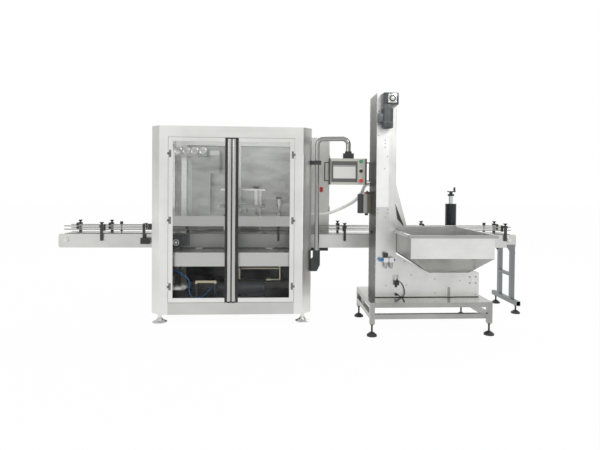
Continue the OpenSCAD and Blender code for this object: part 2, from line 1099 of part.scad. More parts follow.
module head_carriage() {
  z1 = deck_z1;
  x = [cap_x + guide_dx[0] - bridge_side, cap_x + guide_dx[1] + bridge_side];
  color("darkgray")
    difference() {
      union() {
        block(x, [conv_y - deck_front, guide_y + bridge_back], [deck_z, z1]);
        bar_z(cap_x, conv_y, [z1, z1 + motor_base], motor_r + motor_base);
        bar_z(cap_x, conv_y, [z1, z1 + motor_h], motor_r);
        bar_z(cap_x, conv_y, [hood_z + hood_h - eps, deck_z], neck_r);
        bar_z(cap_x, conv_y, [hood_z, hood_z + hood_h], hood_d / 2);
        for (s = [-1, 1])
          bar_z(cap_x + port_dx, conv_y + s * 2 * port_r, [deck_z - port_h, deck_z], port_r);
        bar_z(cap_x + lift_dx, lift_y, [deck_z - lift_tail, bridge_z - lift_pin - lift_play], lift_rod_r);
      }
      bar_z(cap_x, conv_y, [hood_z - eps, hood_z + hood_h - hood_wall], hood_d / 2 - hood_wall);
      bar_z(cap_x, conv_y, [hood_z, z1 + motor_h / 2], spindle_r + fit);
      for (d = guide_dx)
        bar_z(cap_x + d, guide_y, [deck_z - eps, z1 + eps], guide_d / 2 + fit);
    }
}

module capping_spindle() {
  z = hood_z + chuck_up;
  color("silver") {
    translate([cap_x, conv_y, z])
      rotate_extrude()
        polygon([[0, chuck_h / 4], [chuck_r / 2, chuck_h / 4], [chuck_r - chuck_h / 4, 0], [chuck_r, 0],
          [chuck_r, chuck_h / 2], [chuck_r / 2, chuck_h], [0, chuck_h]]);
    bar_z(cap_x, conv_y, [z + chuck_h / 2, deck_z1 + motor_h / 2 - lift_play], spindle_r);
  }
}

module lift_knob() {
  color("dimgray") {
    lobed_knob(cap_x + lift_dx, lift_y, bridge_z);
    bar_z(cap_x + lift_dx, lift_y, [bridge_z - lift_pin, bridge_z + eps], lift_rod_r);
  }
}

module star_knob() {
  color("dimgray") {
    lobed_knob(cap_x + adjust_dx, conv_y + adjust_in, adjust_z);
    bar_z(cap_x + adjust_dx, conv_y + adjust_in, [adjust_z - adjust_rod, adjust_z + eps], lift_rod_r);
  }
}

// A clamp jaw with a V notch and its rod, drawn in front of the jars
module clamp_jaw() {
  y1 = conv_y - clamp_open / 2;
  y0 = y1 - clamp_t;
  translate([cap_x, 0, clamp_z])
    linear_extrude(clamp_h)
      polygon([[-clamp_l / 2, y0], [clamp_l / 2, y0], [clamp_l / 2, y1], [clamp_l / 3, y1], [0, y1 - clamp_v],
        [-clamp_l / 3, y1], [-clamp_l / 2, y1]]);
  bar_y(cap_x, [conv_y - clamp_out - cyl_l / 2, y0 + eps], jaw_z, jaw_r);
}

// The same on the far side of the conveyor's middle
module far_side() {
  translate([0, conv_y, 0])
    mirror([0, 1, 0])
      translate([0, -conv_y, 0])
        children();
}

module front_clamp() {
  color("white")
    clamp_jaw();
}

module rear_clamp() {
  color("white")
    far_side()
      clamp_jaw();
}

// Fixed cylinder of a clamp on its bracket
module clamp_cylinder() {
  y = [conv_y - clamp_out - cyl_l, conv_y - clamp_out];
  difference() {
    union() {
      bar_y(cap_x, y, jaw_z, cyl_r);
      block([cap_x - cyl_r / 2, cap_x + cyl_r / 2], [y[0], conv_y0], [post_z0, jaw_z]);
    }
    bar_y(cap_x, [y[0] + cyl_l / 4, y[1] + eps], jaw_z, jaw_r + fit);
  }
}

// Lower compartment

module vacuum_pump() {
  z = cab_z0 + pan_up + wall_t;
  x0 = pump_x - pump_l / 2;
  x1 = pump_x + pump_l / 2;
  x2 = x1 + pump_l2;
  color("slategray") {
    for (s = [-1, 1])
      block([x0, x2], [pump_y + s * pump_r / 2 - pump_rail / 2, pump_y + s * pump_r / 2 + pump_rail / 2],
        [z, z + pump_base]);
    block([x0 + pump_rail, x1 - pump_rail], [pump_y - pump_r / 2, pump_y + pump_r / 2],
      [z + pump_base, pump_z]);
    bar_x([x0, x1], pump_y, pump_z, pump_r);
    block([x1 + pump_rail, x2 - pump_rail], [pump_y - pump_r / 2, pump_y + pump_r / 2],
      [z + pump_base, pump_z]);
    bar_x([x1, x2], pump_y, pump_z, pump_r2);
    bar_z(cab_x + port_x, pump_y, [pump_z, pipe_zs[1]], pipe_r);
    bar_x([cab_x + port_x, cab_x + pipe_x1], pump_y, pipe_zs[1], pipe_r);
    bar_z(cab_x + pipe_x1, pump_y, [pipe_zs[0], table_z - table_t], pipe_r);
    bar_x([cab_x + pipe_x1 - pipe_l / 3, cab_x + pipe_x1], pump_y, pipe_zs[0], pipe_r);
    bar_x([cab_x + pipe_x1 - pipe_l / 2, cab_x + pipe_x1 - pipe_l / 3], pump_y, pipe_zs[0], 2 * pipe_r);
    for (s = [0, 1])
      block([cab_x + bar_dx + s * (bar_l - bar_s), cab_x + bar_dx + s * (bar_l - bar_s) + bar_s],
        [cab_y + bar_in, cab_y + bar_in + bar_s], [z, bar_z0]);
    block([cab_x + bar_dx, cab_x + bar_dx + bar_l], [cab_y + bar_in, cab_y + bar_in + bar_s],
      [bar_z0, bar_z0 + bar_s]);
    bar_z(cab_x + filter_dx, cab_y + filter_y, [filter_z, filter_z + filter_h], filter_r);
    block([cab_x0 + wall_in + wall_t, cab_x + filter_dx],
      [cab_y + filter_y - pump_rail / 2, cab_y + filter_y + pump_rail / 2],
      [filter_z + filter_h / 3, filter_z + filter_h / 2]);
  }
}

module valve_panel() {
  y = cab_y1 - fit_in;
  x0 = cab_x + post_dx - post_s2 / 2;
  x1 = x0 + post_s2;
  x2 = x1 + cover_w;
  color("gray") {
    block([x0, x1], [y, y + post_s2], [table_z, post_z]);
    for (i = [0:stud_n - 1])
      bar_y((x0 + x1) / 2, [y - stud_t, y], table_z + (i + 1) * (post_z - table_z) / (stud_n + 1),
        stud_r);
    block([x1, x2], [y, y + cover_d], [tunnel_z1, cover_z]);
    block([x2, x2 + valve_w], [y - valve_d / 3, y + valve_d], [valve_z0, valve_z0 + valve_h]);
    block([cab_x + dial_x - plate_m, cab_x + dial_x + (dial_n - 1) * dial_step + plate_m],
      [y, y + post_s2 / 2],
      [post_z, dial_z + dial_r]);
    for (i = [0:dial_n - 1])
      bar_y(cab_x + dial_x + i * dial_step, [y - dial_t, y], dial_z, dial_r);
  }
}

// Swept tubes: rings of points along a smooth route
function unit(v) = v / norm(v);
function ring(c, t, r, n) = let (a = unit(cross(t, [0, 1, 0])), b = cross(a, t))
  [for (i = [0:n - 1]) c + r * (cos(i * 360 / n) * a + sin(i * 360 / n) * b)];
function tangent(p, i) = unit(p[min(i + 1, len(p) - 1)] - p[max(i - 1, 0)]);
function between(a, b, c, d, s) = b + s / 2 * (c - a) + s * s * (a - 5 / 2 * b + 2 * c - d / 2)
  + s * s * s * (3 / 2 * (b - c) + (d - a) / 2);
function smooth(p, k) = concat([for (i = [1:len(p) - 3], j = [0:k - 1])
  between(p[i - 1], p[i], p[i + 1], p[i + 2], j / k)], [p[len(p) - 2]]);
function side_faces(m, n, start) = [for (j = [0:m - 2], i = [0:n - 1], h = [0, 1])
  let (a = start + j * n + i, b = start + j * n + (i + 1) % n, c = a + n, d = b + n) h == 0 ? [a, b,
  d] : [a, d, c]];
function turned(faces) = [for (f = faces) [f[0], f[2], f[1]]];

// A full round tube along a route
module solid_tube(path, r, n) {
  m = len(path);
  points = [for (i = [0:m - 1]) each ring(path[i], tangent(path, i), r, n)];
  polyhedron(points, concat(side_faces(m, n, 0), [[for (i = [0:n - 1]) n - 1 - i]],
    [[for (i = [0:n - 1]) (m - 1) * n + i]]));
}

// A ribbed hose with its bore along a route, two rings to a rib
module ribbed_tube(path, r, rib, bore, n) {
  m = len(path);
  outer = [for (i = [0:m - 1]) each ring(path[i], tangent(path, i), i % 2 == 0 ? r - rib : r, n)];
  inner = [for (i = [0:m - 1]) each ring(path[i], tangent(path, i), bore, n)];
  o = m * n;
  ends = [for (i = [0:n - 1]) each let (a = i, b = (i + 1) % n, c = o + i, d = o + (i + 1) % n,
    e = (m - 1) * n)
    [[a, c, d], [a, d, b], [a + e, b + e, d + e], [a + e, d + e, c + e]]];
  polyhedron(concat(outer, inner), concat(side_faces(m, n, 0), turned(side_faces(m, n, o)), ends));
}

module vacuum_hose() {
  place = [for (p = vacuum_route) [cab_x + p[0], cab_y + p[1], p[2]]];
  color("royalblue")
    solid_tube(smooth(place, 5), hose_r, hose_sides);
}

// Conveyor

module side_plate() {
  c = flange_in;
  difference() {
    sheet_xz([[conv_x0 + c, conv_z0], [conv_x1 - c, conv_z0], [conv_x1, conv_z0 + c], [conv_x1, conv_z1 - c],
      [conv_x1 - c, conv_z1], [conv_x0 + c, conv_z1], [conv_x0, conv_z1 - c], [conv_x0, conv_z0 + c]],
      [conv_y0, conv_y0 + conv_t]);
    bar_y(cab_x + drive_dx, [conv_y0 - eps, conv_y0 + conv_t + eps], drive_z, shaft_r + fit);
    for (x = [conv_x0 + shaft_in, conv_x1 - shaft_in])
      bar_y(x, [conv_y0 - eps, conv_y0 + conv_t + eps], chain_mid, shaft_r + fit);
  }
}

// Bearing housing on a side plate's outer face
module bearing(x, z) {
  difference() {
    bar_y(x, [conv_y0 - hub_t, conv_y0], z, hub_r);
    bar_y(x, [conv_y0 - hub_t - eps, conv_y0 + eps], z, shaft_r + fit);
  }
}

module conveyor_frame() {
  x = [conv_x0 + shaft_in, conv_x1 - shaft_in];
  color("silver") {
    side_plate();
    far_side()
      side_plate();
    for (e = x) {
      bearing(e, chain_mid);
      far_side()
        bearing(e, chain_mid);
    }
    far_side()
      bearing(cab_x + drive_dx, drive_z);
    for (s = [-1, 1]) {
      y = conv_y + s * strip_dy;
      block(x, [y - strip_w / 2, y + strip_w / 2], [conv_z1 - strip_h, conv_z1]);
      block(x, [y - strip_w / 2, y + strip_w / 2], [chain_z0 - low_strip, chain_z0]);
    }
    for (i = [0:tie_n - 1]) {
      e = conv_x0 + tie_in + i * (line_l - 2 * tie_in) / (tie_n - 1);
      block([e - tie_s / 2, e + tie_s / 2], [conv_y0 + conv_t, conv_y1 - conv_t],
        [conv_z1 - strip_h - tie_s, conv_z1 - strip_h]);
      block([e - tie_s / 2, e + tie_s / 2], [conv_y0 + conv_t, conv_y1 - conv_t],
        [chain_z0 - low_strip - brace_h, chain_z0 - low_strip]);
    }
  }
}

// Outline of the slat chain's loop with end radius r
module chain_loop(r) {
  for (x = [conv_x0 + shaft_in, conv_x1 - shaft_in])
    translate([x, chain_mid])
      circle(r, $fn = 96);
  translate([conv_x0 + shaft_in, chain_mid - r])
    square([line_l - 2 * shaft_in, 2 * r]);
}

module conveyor_chain() {
  color("gainsboro")
    translate([0, conv_y + chain_w / 2, 0])
      rotate([90, 0, 0])
        linear_extrude(chain_w)
          difference() {
            chain_loop(chain_r);
            chain_loop(chain_r - chain_t);
          }
}

// A shaft across the conveyor with its two chain wheels
module wheel_shaft(x, z, r, y) {
  bar_y(x, y, z, shaft_r);
  for (s = [-1, 1])
    bar_y(x, [conv_y + s * wheel_dy - wheel_w / 2, conv_y + s * wheel_dy + wheel_w / 2], z, r);
}

module left_end_shaft() {
  color("dimgray")
    wheel_shaft(conv_x0 + shaft_in, chain_mid, chain_r - chain_t - pass,
      [conv_y0 - hub_t - conv_t, conv_y1 + hub_t + conv_t]);
}

module right_end_shaft() {
  color("dimgray")
    wheel_shaft(conv_x1 - shaft_in, chain_mid, chain_r - chain_t - pass,
      [conv_y0 - hub_t - conv_t, conv_y1 + hub_t + conv_t]);
}

module drive_shaft() {
  color("dimgray")
    wheel_shaft(cab_x + drive_dx, drive_z, drive_z - chain_z0 - chain_t - pass,
      [conv_y0 - gm_t - gm_box_d + gm_wall + pass, conv_y1 + hub_t]);
}

module conveyor_gearmotor() {
  x = cab_x + drive_dx;
  y1 = conv_y0 - gm_t;
  y = y1 - gm_box_d / 2;
  z = conv_z0 - gm_gap;
  color("dimgray") {
    difference() {
      union() {
        block([x - gm_left, x - gm_left + gm_w], [y1, conv_y0], [drive_z - gm_low, drive_z + gm_up]);
        block([x - gm_box / 2, x + gm_box / 2], [y1 - gm_box_d, y1],
          [drive_z - gm_box / 2, drive_z + gm_box / 2]);
        bar_y(x, [y1 - gm_box_d - gm_hub_t, y1 - gm_box_d], drive_z, gm_hub_r);
      }
      bar_y(x, [y1 - gm_box_d + gm_wall, conv_y0 + eps], drive_z, shaft_r + fit);
    }
    bar_z(x, y, [z, drive_z - gm_box / 2], gm_neck_r);
    bar_z(x, y, [z - gm_motor_l, z], gm_motor_r);
    bar_z(x, y, [z - gm_motor_l - gm_motor_cap, z - gm_motor_l], gm_motor_r - gm_gap);
  }
}

module guide_rails() {
  x0 = conv_x0 + rail_end;
  x1 = conv_x1 - rail_end;
  color("silver")
    for (z = rail_zs) {
      bar_x([x0, cab_x + rail_gap[0]], conv_y - rail_dy, z, rail_r);
      bar_x([cab_x + rail_gap[1], x1], conv_y - rail_dy, z, rail_r);
      bar_x([x0, x1], conv_y + rail_dy, z, rail_r);
    }
}

// One rail clamp: post on the side plate, head with its knob, rod and rail block, drawn in front
module rail_clamp(x, z0) {
  z1 = head_z + head_h / 2;
  y = conv_y - rail_dy;
  block([x - post_w2 / 2, x + post_w2 / 2], [conv_y0 - post_d2, conv_y0], [z0, head_z]);
  block([x - head_w / 2, x + head_w / 2], [conv_y0 - post_d2, conv_y0 + post_d2 / 2],
    [head_z - head_h / 2, z1]);
  flared_knob(x, conv_y0 - post_d2 / 4, z1 - eps);
  bar_y(x, [conv_y0, y], z1 - rod_drop, rod_r);
  difference() {
    block([x - block_w / 2, x + block_w / 2], [y - block_d / 2, y + block_d / 2],
      [rail_zs[0] - rail_r - block_over, z1]);
    for (z = rail_zs)
      bar_x([x - block_w, x + block_w], y, z, rail_r);
  }
}

module rail_clamps() {
  color("dimgray") {
    for (d = front_xs)
      rail_clamp(cab_x + d, post_z0);
    far_side() {
      for (d = rear_xs)
        rail_clamp(cab_x + d, post_back_z);
      for (d = sensor_dx) {
        block([cab_x + d - post_w2 / 2, cab_x + d + post_w2 / 2], [conv_y0 - post_d2, conv_y0],
          [post_z0, conv_z1 + block_over]);
        bar_z(cab_x + d, conv_y0 - post_d2 / 2, [conv_z1, head_z - sensor_r], rail_r);
        bar_z(cab_x + d, conv_y0 - post_d2 / 2, [head_z - sensor_r, head_z - sensor_r + sensor_l], sensor_r);
      }
    }
  }
}

module jar_stop() {
  x = cab_x + stop_dx;
  y = conv_y0 - stop_d / 2;
  color("dimgray") {
    block([x - stop_w / 2, x + stop_w / 2], [conv_y0 - stop_d, conv_y0], [stop_z, stop_z + stop_h]);
    block([x - bent_w, x], [y - bent_t, y], [stop_z + stop_h - eps, bent_z]);
    block([x - bent_w, x], [y - bent_t, stop_y], [bent_z - bent_t, bent_z]);
    bar_z(x - bent_w / 2, stop_y - stop_rod_r, [rail_zs[0], bent_z],
      stop_rod_r);
    bar_x([x - eps, x + 2 * bent_w], y - bent_t / 2, bent_z - bent_w, rod_r);
    block([x + bent_w, x + 2 * bent_w + stop_rod_r], [y - bent_w / 2, y + bent_w / 2],
      [rail_zs[1] - bent_w, bent_z]);
    clamp_cylinder();
    far_side()
      clamp_cylinder();
  }
}

module leg_frame() {
  x = cab_x + leg_dx;
  s = leg_s / 2;
  z = beam_z + beam_h;
  color("silver") {
    for (y = [conv_y0, conv_y1 - leg_s])
      tube_z([x - s, x + s], [y, y + leg_s], [z, conv_z0], post_s);
    tube_y([x - s, x + s], [conv_y - beam_l / 2, conv_y + beam_l / 2], [beam_z, z], post_s);
    tube_y([x - s, x + s], [conv_y0 + leg_s, conv_y1 - leg_s], [leg_rung_z, leg_rung_z + leg_rung_h], post_s);
    for (y = [conv_y0 - gusset_t, conv_y1])
      sheet_xz([[x - s, conv_z0 - gusset], [x + s, conv_z0 - gusset], [conv_x1 - flange_in, conv_z0],
        [conv_x1 - flange_in, conv_z0 + gusset / 2], [x - gusset, conv_z0 + gusset / 2],
        [x - gusset, conv_z0]],
        [y, y + gusset_t]);
    block([cab_x1 - table_in, cab_x1 + support_l], [conv_y0, conv_y0 + support_w],
      [conv_z0 - support_h, conv_z0]);
  }
}

// A round pad with its threaded stem, up to z
module dark_foot(x, y, z) {
  translate([x, y, 0])
    rotate_extrude()
      polygon([[0, 0], [pad_r, 0], [pad_r, pad_h], [pad_cone_r, pad_cone_z], [stem_r, pad_cone_z],
        [stem_r, z - nut_h], [nut_r, z - nut_h], [nut_r, z], [0, z]]);
}

module dark_feet() {
  s = stand_tube / 2;
  color("dimgray") {
    for (x = [stand_x0 + s, stand_x1 - s], y = [stand_y0 + s, stand_y1 - s])
      dark_foot(x, y, stand_leg_z);
    for (s = [-1, 1])
      dark_foot(cab_x + leg_dx, conv_y + s * (beam_l / 2 - leg_foot_in), beam_z);
  }
}

// Electrical box

module electrical_box() {
  x = [cab_x1, cab_x1 + box_w];
  y = [cab_y + box_in, cab_y + box_in + box_d];
  back = y[1] - box_plate;
  step = dev_h + dev_gap;
  color("silver")
    difference() {
      block(x, y, [box_z0, box_z1]);
      difference() {
        block([x[0] + box_s, x[1] - box_s], [y[0] + box_s, y[1] - box_s], [box_z0 + box_s, box_z1 - box_s]);
        block([x[0] + box_plate, x[1] - box_plate], [back - box_s, back], [door_b0, door_b1]);
        for (s = [0, 1], z = [door_b0 + box_plate, door_b1 - box_plate])
          bar_y(x[0] + (1 + s * 2) * box_w / 4, [back - eps, y[1]], z, switch_shaft);
        for (i = [0:dev_n - 1], s = [0, 1]) {
          a = x[0] + box_w / 4 + s * (dev_w + dev_gap);
          z = door_b0 + 2 * box_plate + 2 * i * step;
          block([a, a + dev_w], [back - box_s - dev_d, back - box_s + eps], [z, z + dev_h]);
        }
      }
      block([x[0] + dev_gap, x[1] - dev_gap], [y[0] - eps, y[0] + box_s + eps],
        [door_b0 + dev_gap, door_b1 - dev_gap]);
    }
  color("silver")
    for (z = box_zs) {
      bar_z(x[1], y[0] - door_bt, [z - leaf_w, z - hinge_s], hinge_r);
      block([x[1], x[1] + leaf_t], [y[0] - door_bt, y[0] + leaf_w], [z - leaf_w, z - hinge_s]);
    }
}

module electrical_door() {
  x = [cab_x1 + box_gap, cab_x1 + box_w - pass];
  y = [cab_y + box_in - door_bt, cab_y + box_in];
  color("silver") {
    for (z = box_zs)
      bar_z(x[1] + pass, y[0], [z, z + leaf_w], hinge_r);
    difference() {
      block(x, y, [door_b0, door_b1]);
      for (z = box_zs)
        bar_z(x[1] + pass, y[0], [z - leaf_w - hinge_s, z], hinge_r + pass);
      block([x[0] + dev_gap, x[1] - dev_gap], [y[0] + box_s, y[1] + eps],
        [door_b0 + dev_gap, door_b1 - dev_gap]);
      bar_y(cab_x1 + switch_dx, [y[0] - eps, y[1]], switch_z, switch_shaft + fit);
    }
  }
}

module main_switch() {
  x = cab_x1 + switch_dx;
  y = cab_y + box_in - door_bt;
  color("red") {
    bar_y(x, [y - switch_t, y], switch_z, switch_r);
    block([x - switch_grip / 2, x + switch_grip / 2], [y - switch_out, y - switch_t + eps],
      [switch_z - switch_r, switch_z + switch_r]);
    bar_y(x, [y - eps, y + switch_grip], switch_z, switch_shaft);
  }
}

// Operator panel on its arm

module arm_bracket() {
  y = [arm_y - cast_w / 2, arm_y + cast_w / 2];
  x1 = arm_x + arm_r + cast_wall / 2;
  x0 = arm_x - arm_r - cast_wall;
  z = clip_z;
  color("dimgray")
    difference() {
      union() {
        sheet_xz([[cab_x1, cast_z0], [arm_x, cast_z0], [x1, cast_z0 + cast_w], [x1, cast_z1], [x0, cast_z1],
          [x0, cast_z0 + cast_foot + cast_gap], [cab_x1, cast_z0 + cast_foot]], y);
        block([cab_x1, arm_x + arm_r + clip_wall], y, [z - clip_h / 2, z + clip_h / 2]);
      }
      bar_z(arm_x, arm_y, [arm_z0, cast_z1 + eps], arm_r + fit);
      bar_z(arm_x, arm_y, [z - clip_h, z + clip_h], arm_r + fit);
    }
}

module arm_tube() {
  z = arm_z - arm_bend;
  color("silver")
    translate([arm_x, arm_y, 0])
      rotate([0, 0, -arm_turn]) {
        bar_z(0, 0, [arm_z0, z], arm_r);
        translate([arm_bend, 0, z])
          rotate([90, 0, 0])
            rotate([0, 0, 90])
              rotate_extrude(angle = 90)
                translate([arm_bend, 0])
                  circle(arm_r);
        bar_x([arm_bend, arm_l - arm_bend], 0, arm_z, arm_r);
        translate([arm_l - arm_bend, 0, z])
          rotate([90, 0, 0])
            rotate_extrude(angle = 90)
              translate([arm_bend, 0])
                circle(arm_r);
        bar_z(arm_l, 0, [arm_end_z - spigot, z], arm_r);
      }
}

module panel_housing() {
  z1 = arm_end_z - swivel_neck;
  y = [panel_y0 + face_t, panel_y1];
  color("lightgray") {
    difference() {
      union() {
        difference() {
          block([panel_x0, panel_x1], y, [panel_z, panel_z1]);
          block([panel_x0 + face_m, panel_x1 - face_m], [y[0] - eps, y[0] + panel_s],
            [panel_z + face_m, panel_z1 - face_m]);
          block([panel_x0 + panel_s, panel_x1 - panel_s], [y[0] + panel_s - eps, y[1] - panel_s],
            [panel_z + panel_s, panel_z1 - panel_s]);
        }
        block([panel_px - swivel_w / 2, panel_px + swivel_w / 2],
          [panel_py - swivel_d / 2, panel_py + swivel_d / 2], [panel_z1, z1]);
        bar_z(panel_px, panel_py, [z1 - eps, arm_end_z], swivel_r);
      }
      bar_z(panel_px, panel_py, [arm_end_z - spigot, arm_end_z + eps], arm_r + fit);
    }
    for (x = [panel_x0, panel_x1 - edge_w])
      block([x, x + edge_w], [panel_y0 - edge_t, y[0]], [panel_z, panel_z1]);
  }
}

module panel_screen() {
  x = panel_cx;
  z = panel_cz;
  y = panel_y0 - bezel_t;
  color("whitesmoke")
    difference() {
      union() {
        block([panel_x0 + edge_w, panel_x1 - edge_w], [panel_y0, panel_y0 + face_t], [panel_z, panel_z1]);
        block([x + bezel_dx - bezel_w / 2, x + bezel_dx + bezel_w / 2], [y, panel_y0],
          [z + bezel_dz - bezel_h / 2, z + bezel_dz + bezel_h / 2]);
        for (d = key_dz)
          bar_y(x + key_dx, [panel_y0 - key_rim_t, panel_y0 + eps], z + d, key_rim_r);
      }
      block([x + bezel_dx - screen_w / 2, x + bezel_dx + screen_w / 2], [y - eps, y + screen_t],
        [z + screen_dz - screen_h / 2, z + screen_dz + screen_h / 2]);
      for (d = key_dz)
        bar_y(x + key_dx, [panel_y0 - bezel_t - eps, panel_y0 + face_t + eps], z + d, key_r + fit);
    }
}

module panel_handles() {
  y = (panel_y0 + panel_y1) / 2;
  z = panel_cz;
  b = grip_bar / 2;
  color("dimgray")
    for (s = [-1, 1]) {
      x = s < 0 ? panel_x0 : panel_x1;
      xs = s < 0 ? [x - handle_out, x - handle_out + grip_bar] : [x + handle_out - grip_bar, x + handle_out];
      block(xs, [y - grip_bar, y + grip_bar], [z - handle_h / 2, z + handle_h / 2]);
      for (e = [-1, 1])
        block([min(x, xs[0]), max(x, xs[1])], [y - grip_bar, y + grip_bar],
          [z + e * (handle_h / 2 - b) - b, z + e * (handle_h / 2 - b) + b]);
    }
}

// Body of a push or turn button in the face plate
module key_body(d) {
  x = key_x;
  z = panel_cz + key_dz[d];
  bar_y(x, [panel_y0 - key_out, panel_y0 + face_t + key_travel], z, key_r);
}

module start_button() {
  color("green")
    key_body(0);
}

module stop_button() {
  x = key_x;
  z = panel_cz + key_dz[2];
  color("red") {
    key_body(2);
    bar_y(x, [panel_y0 - key_out - mushroom_t, panel_y0 - key_out + eps], z, mushroom_r);
  }
}

module selector_switch() {
  x = key_x;
  z = panel_cz + key_dz[1];
  color("dimgray") {
    key_body(1);
    block([x - key_rim_t, x + key_rim_t], [panel_y0 - key_out - key_rim_t * 2, panel_y0 - key_out + eps],
      [z - key_r, z + key_r]);
  }
}

// Stand

module stand() {
  s = stand_tube;
  x = [stand_x0, stand_x1];
  y = [stand_y0, stand_y1];
  top = stand_z - stand_s;
  color("silver") {
    for (a = [x[0], x[1] - s], b = [y[0], y[1] - s]) {
      tube_z([a, a + s], [b, b + s], [stand_leg_z, top], stand_s);
      block([a, a + s], [b, b + s], [stand_leg_z, stand_leg_z + 2 * stand_s]);
    }
    for (z = [stand_rail_z, top - s]) {
      for (b = [y[0], y[1] - s])
        tube_x([x[0] + s, x[1] - s], [b, b + s], [z, z + s], stand_s);
      for (a = [x[0], x[1] - s])
        tube_y([a, a + s], [y[0] + s, y[1] - s], [z, z + s], stand_s);
    }
    block(x, y, [top, stand_z]);
  }
}

// Elevator

module elevator_plate(y) {
  difference() {
    sheet_xz([[el_x0, el_z0], [base_x1, el_z0], [base_x1, base_z], [hop_x0 + mouth_dx0, base_z],
      [shelf_x, slope_z],
      [shelf_x, shelf_z], [el_x0 + low_w, shelf_z], [el_x0 + low_w, low_z], [el_x0 + main_w, low_z],
      [el_x0 + main_w, top_z - head_box_h / 2], [el_x1, top_z - head_box_h / 2], [el_x1, col_z],
      [el_x0, col_z]], y);
    bar_y(head_x, over(y), top_z, axle_r + fit);
    bar_y(tail_x, over(y), tail_z, axle_r + fit);
  }
}

module tail_bearing() {
  difference() {
    union() {
      bar_y(tail_x, [el_y0 - bolt_t, el_y0], tail_z, tail_ring);
      block([tail_x - tail_plate, tail_x - tail_ring / 2], [el_y0 - bolt_t, el_y0],
        [tail_z - slot_r, tail_z + slot_r]);
    }
    bar_y(tail_x, [el_y0 - bolt_t - eps, el_y0 + eps], tail_z, axle_r + fit);
  }
}

module elevator_plates() {
  color("gainsboro") {
    elevator_plate([el_y0, el_y0 + plate_t]);
    elevator_plate([el_y1 - plate_t, el_y1]);
    for (s = [0, 1])
      translate([0, (el_y0 + el_y1) / 2, 0])
        mirror([0, s, 0])
          translate([0, -(el_y0 + el_y1) / 2, 0])
            tail_bearing();
    for (z = [base_z - guide_w / 2, el_z0 + guide_w / 2], i = [0:4])
      bar_y(el_x0 + guide_w + i * (base_l - 2 * guide_w) / 4, [el_y0 - bolt_t, el_y0], z, bolt_r);
    block([guide_x, guide_x + guide_w], [el_y0 - bolt_t, el_y0], [el_z0, el_z0 + guide_h]);
  }
}

module elevator_covers() {
  y = [el_y0 + plate_t, el_y1 - plate_t];
  z1 = col_z - cover_t;
  back = strip_back;
  color("silver") {
    block([el_x0, el_x0 + cover_t], y, [el_z0, z1]);
    block([el_x0, el_x1], y, [z1, col_z]);
    block([el_x1 - cover_t, el_x1], y, [chute_z1, z1]);
    block([lid_x, base_x1 - cover_t], y, [base_z - cover_t, base_z]);
    block([base_x1 - cover_t, base_x1], y, [el_z0, base_z]);
    for (s = [[y[0] + back, y[0] + back + cover_t], [y[1] - back - cover_t, y[1] - back]]) {
      block([el_x0 + main_w - back, el_x1], s, [low_z, top_z - head_box_h / 2 + back]);
      sheet_xz([[el_x0 + low_w - back, shelf_z - back], [shelf_x, shelf_z - back], [shelf_x, shelf_z],
        [el_x1, low_z],
        [el_x0 + low_w - back, low_z]], s);
      sheet_xz([[el_x1, chute_z1], [el_x1, hop_z + chute_w / 2], [chute_x, chute_z]], s);
    }
    sheet_xz([[el_x1 - cover_t, chute_z1], [el_x1, chute_z1], [chute_x, chute_z],
      [chute_x - cover_t, chute_z - cover_t]], [y[0] + back, y[1] - back]);
    bar_y(head_x, y, tail_z, pulley_r - pass);
    for (s = [[y[0], y[0] + belt_in + belt_edge / 2], [y[1] - belt_in - belt_edge / 2, y[1]]])
      bar_y(head_x + pulley_r + bend_r, s, tail_z + pulley_r + bend_r, bend_r - belt_t - pass);
  }
}

// Outline of the belt's loop in X and Z, offset by t from its inner face
module belt_loop(t) {
  r = pulley_r + t;
  b = bend_r - t;
  x = head_x + pulley_r + bend_r;
  z = tail_z + pulley_r + bend_r;
  for (c = [[head_x, top_z], [head_x, tail_z], [tail_x, tail_z]])
    translate(c)
      circle(r, $fn = 96);
  translate([head_x - r, tail_z])
    square([2 * r, top_z - tail_z]);
  translate([head_x, tail_z - r])
    square([tail_x - head_x, 2 * r]);
  difference() {
    translate([head_x, tail_z])
      square([x - head_x, z - tail_z]);
    translate([x, z])
      circle(b, $fn = 96);
  }
}

module elevator_belt() {
  y = belt_ys;
  c = [y[0] + belt_edge, y[1] - belt_edge];
  r = pulley_r + belt_t - eps;
  up = top_z - tail_z;
  along = tail_x - head_x;
  color("dimgray") {
    translate([0, y[1], 0])
      rotate([90, 0, 0])
        linear_extrude(y[1] - y[0])
          difference() {
            belt_loop(belt_t);
            belt_loop(0);
          }
    for (i = [1:floor(up / cleat_p) - 1]) {
      z = tail_z + i * cleat_p;
      block([head_x - r - eps - cleat_h, head_x - r], c, [z, z + cleat_t]);
      block([head_x + r, head_x + r + eps + cleat_h], c, [z + cleat_p / 2, z + cleat_p / 2 + cleat_t]);
    }
    for (i = [1:floor(along / cleat_p)]) {
      x = head_x + bend_r + i * cleat_p - cleat_p / 2;
      block([x, x + cleat_t], c, [tail_z - r - eps - cleat_h, tail_z - r]);
      block([x + cleat_p / 3, x + cleat_p / 3 + cleat_t], c, [tail_z + r, tail_z + r + eps + cleat_h]);
    }
  }
}

// A belt pulley on its shaft, which runs over the range y
module pulley(x, z, y) {
  bar_y(x, belt_ys, z, pulley_r - pass);
  bar_y(x, y, z, axle_r);
}

module head_pulley() {
  color("dimgray")
    pulley(head_x, top_z, [el_y0 - head_box_d + flange_t, el_y1]);
}

module tail_pulley() {
  color("dimgray")
    pulley(tail_x, tail_z, [el_y0 - 2 * bolt_t, el_y1 + 2 * bolt_t]);
}

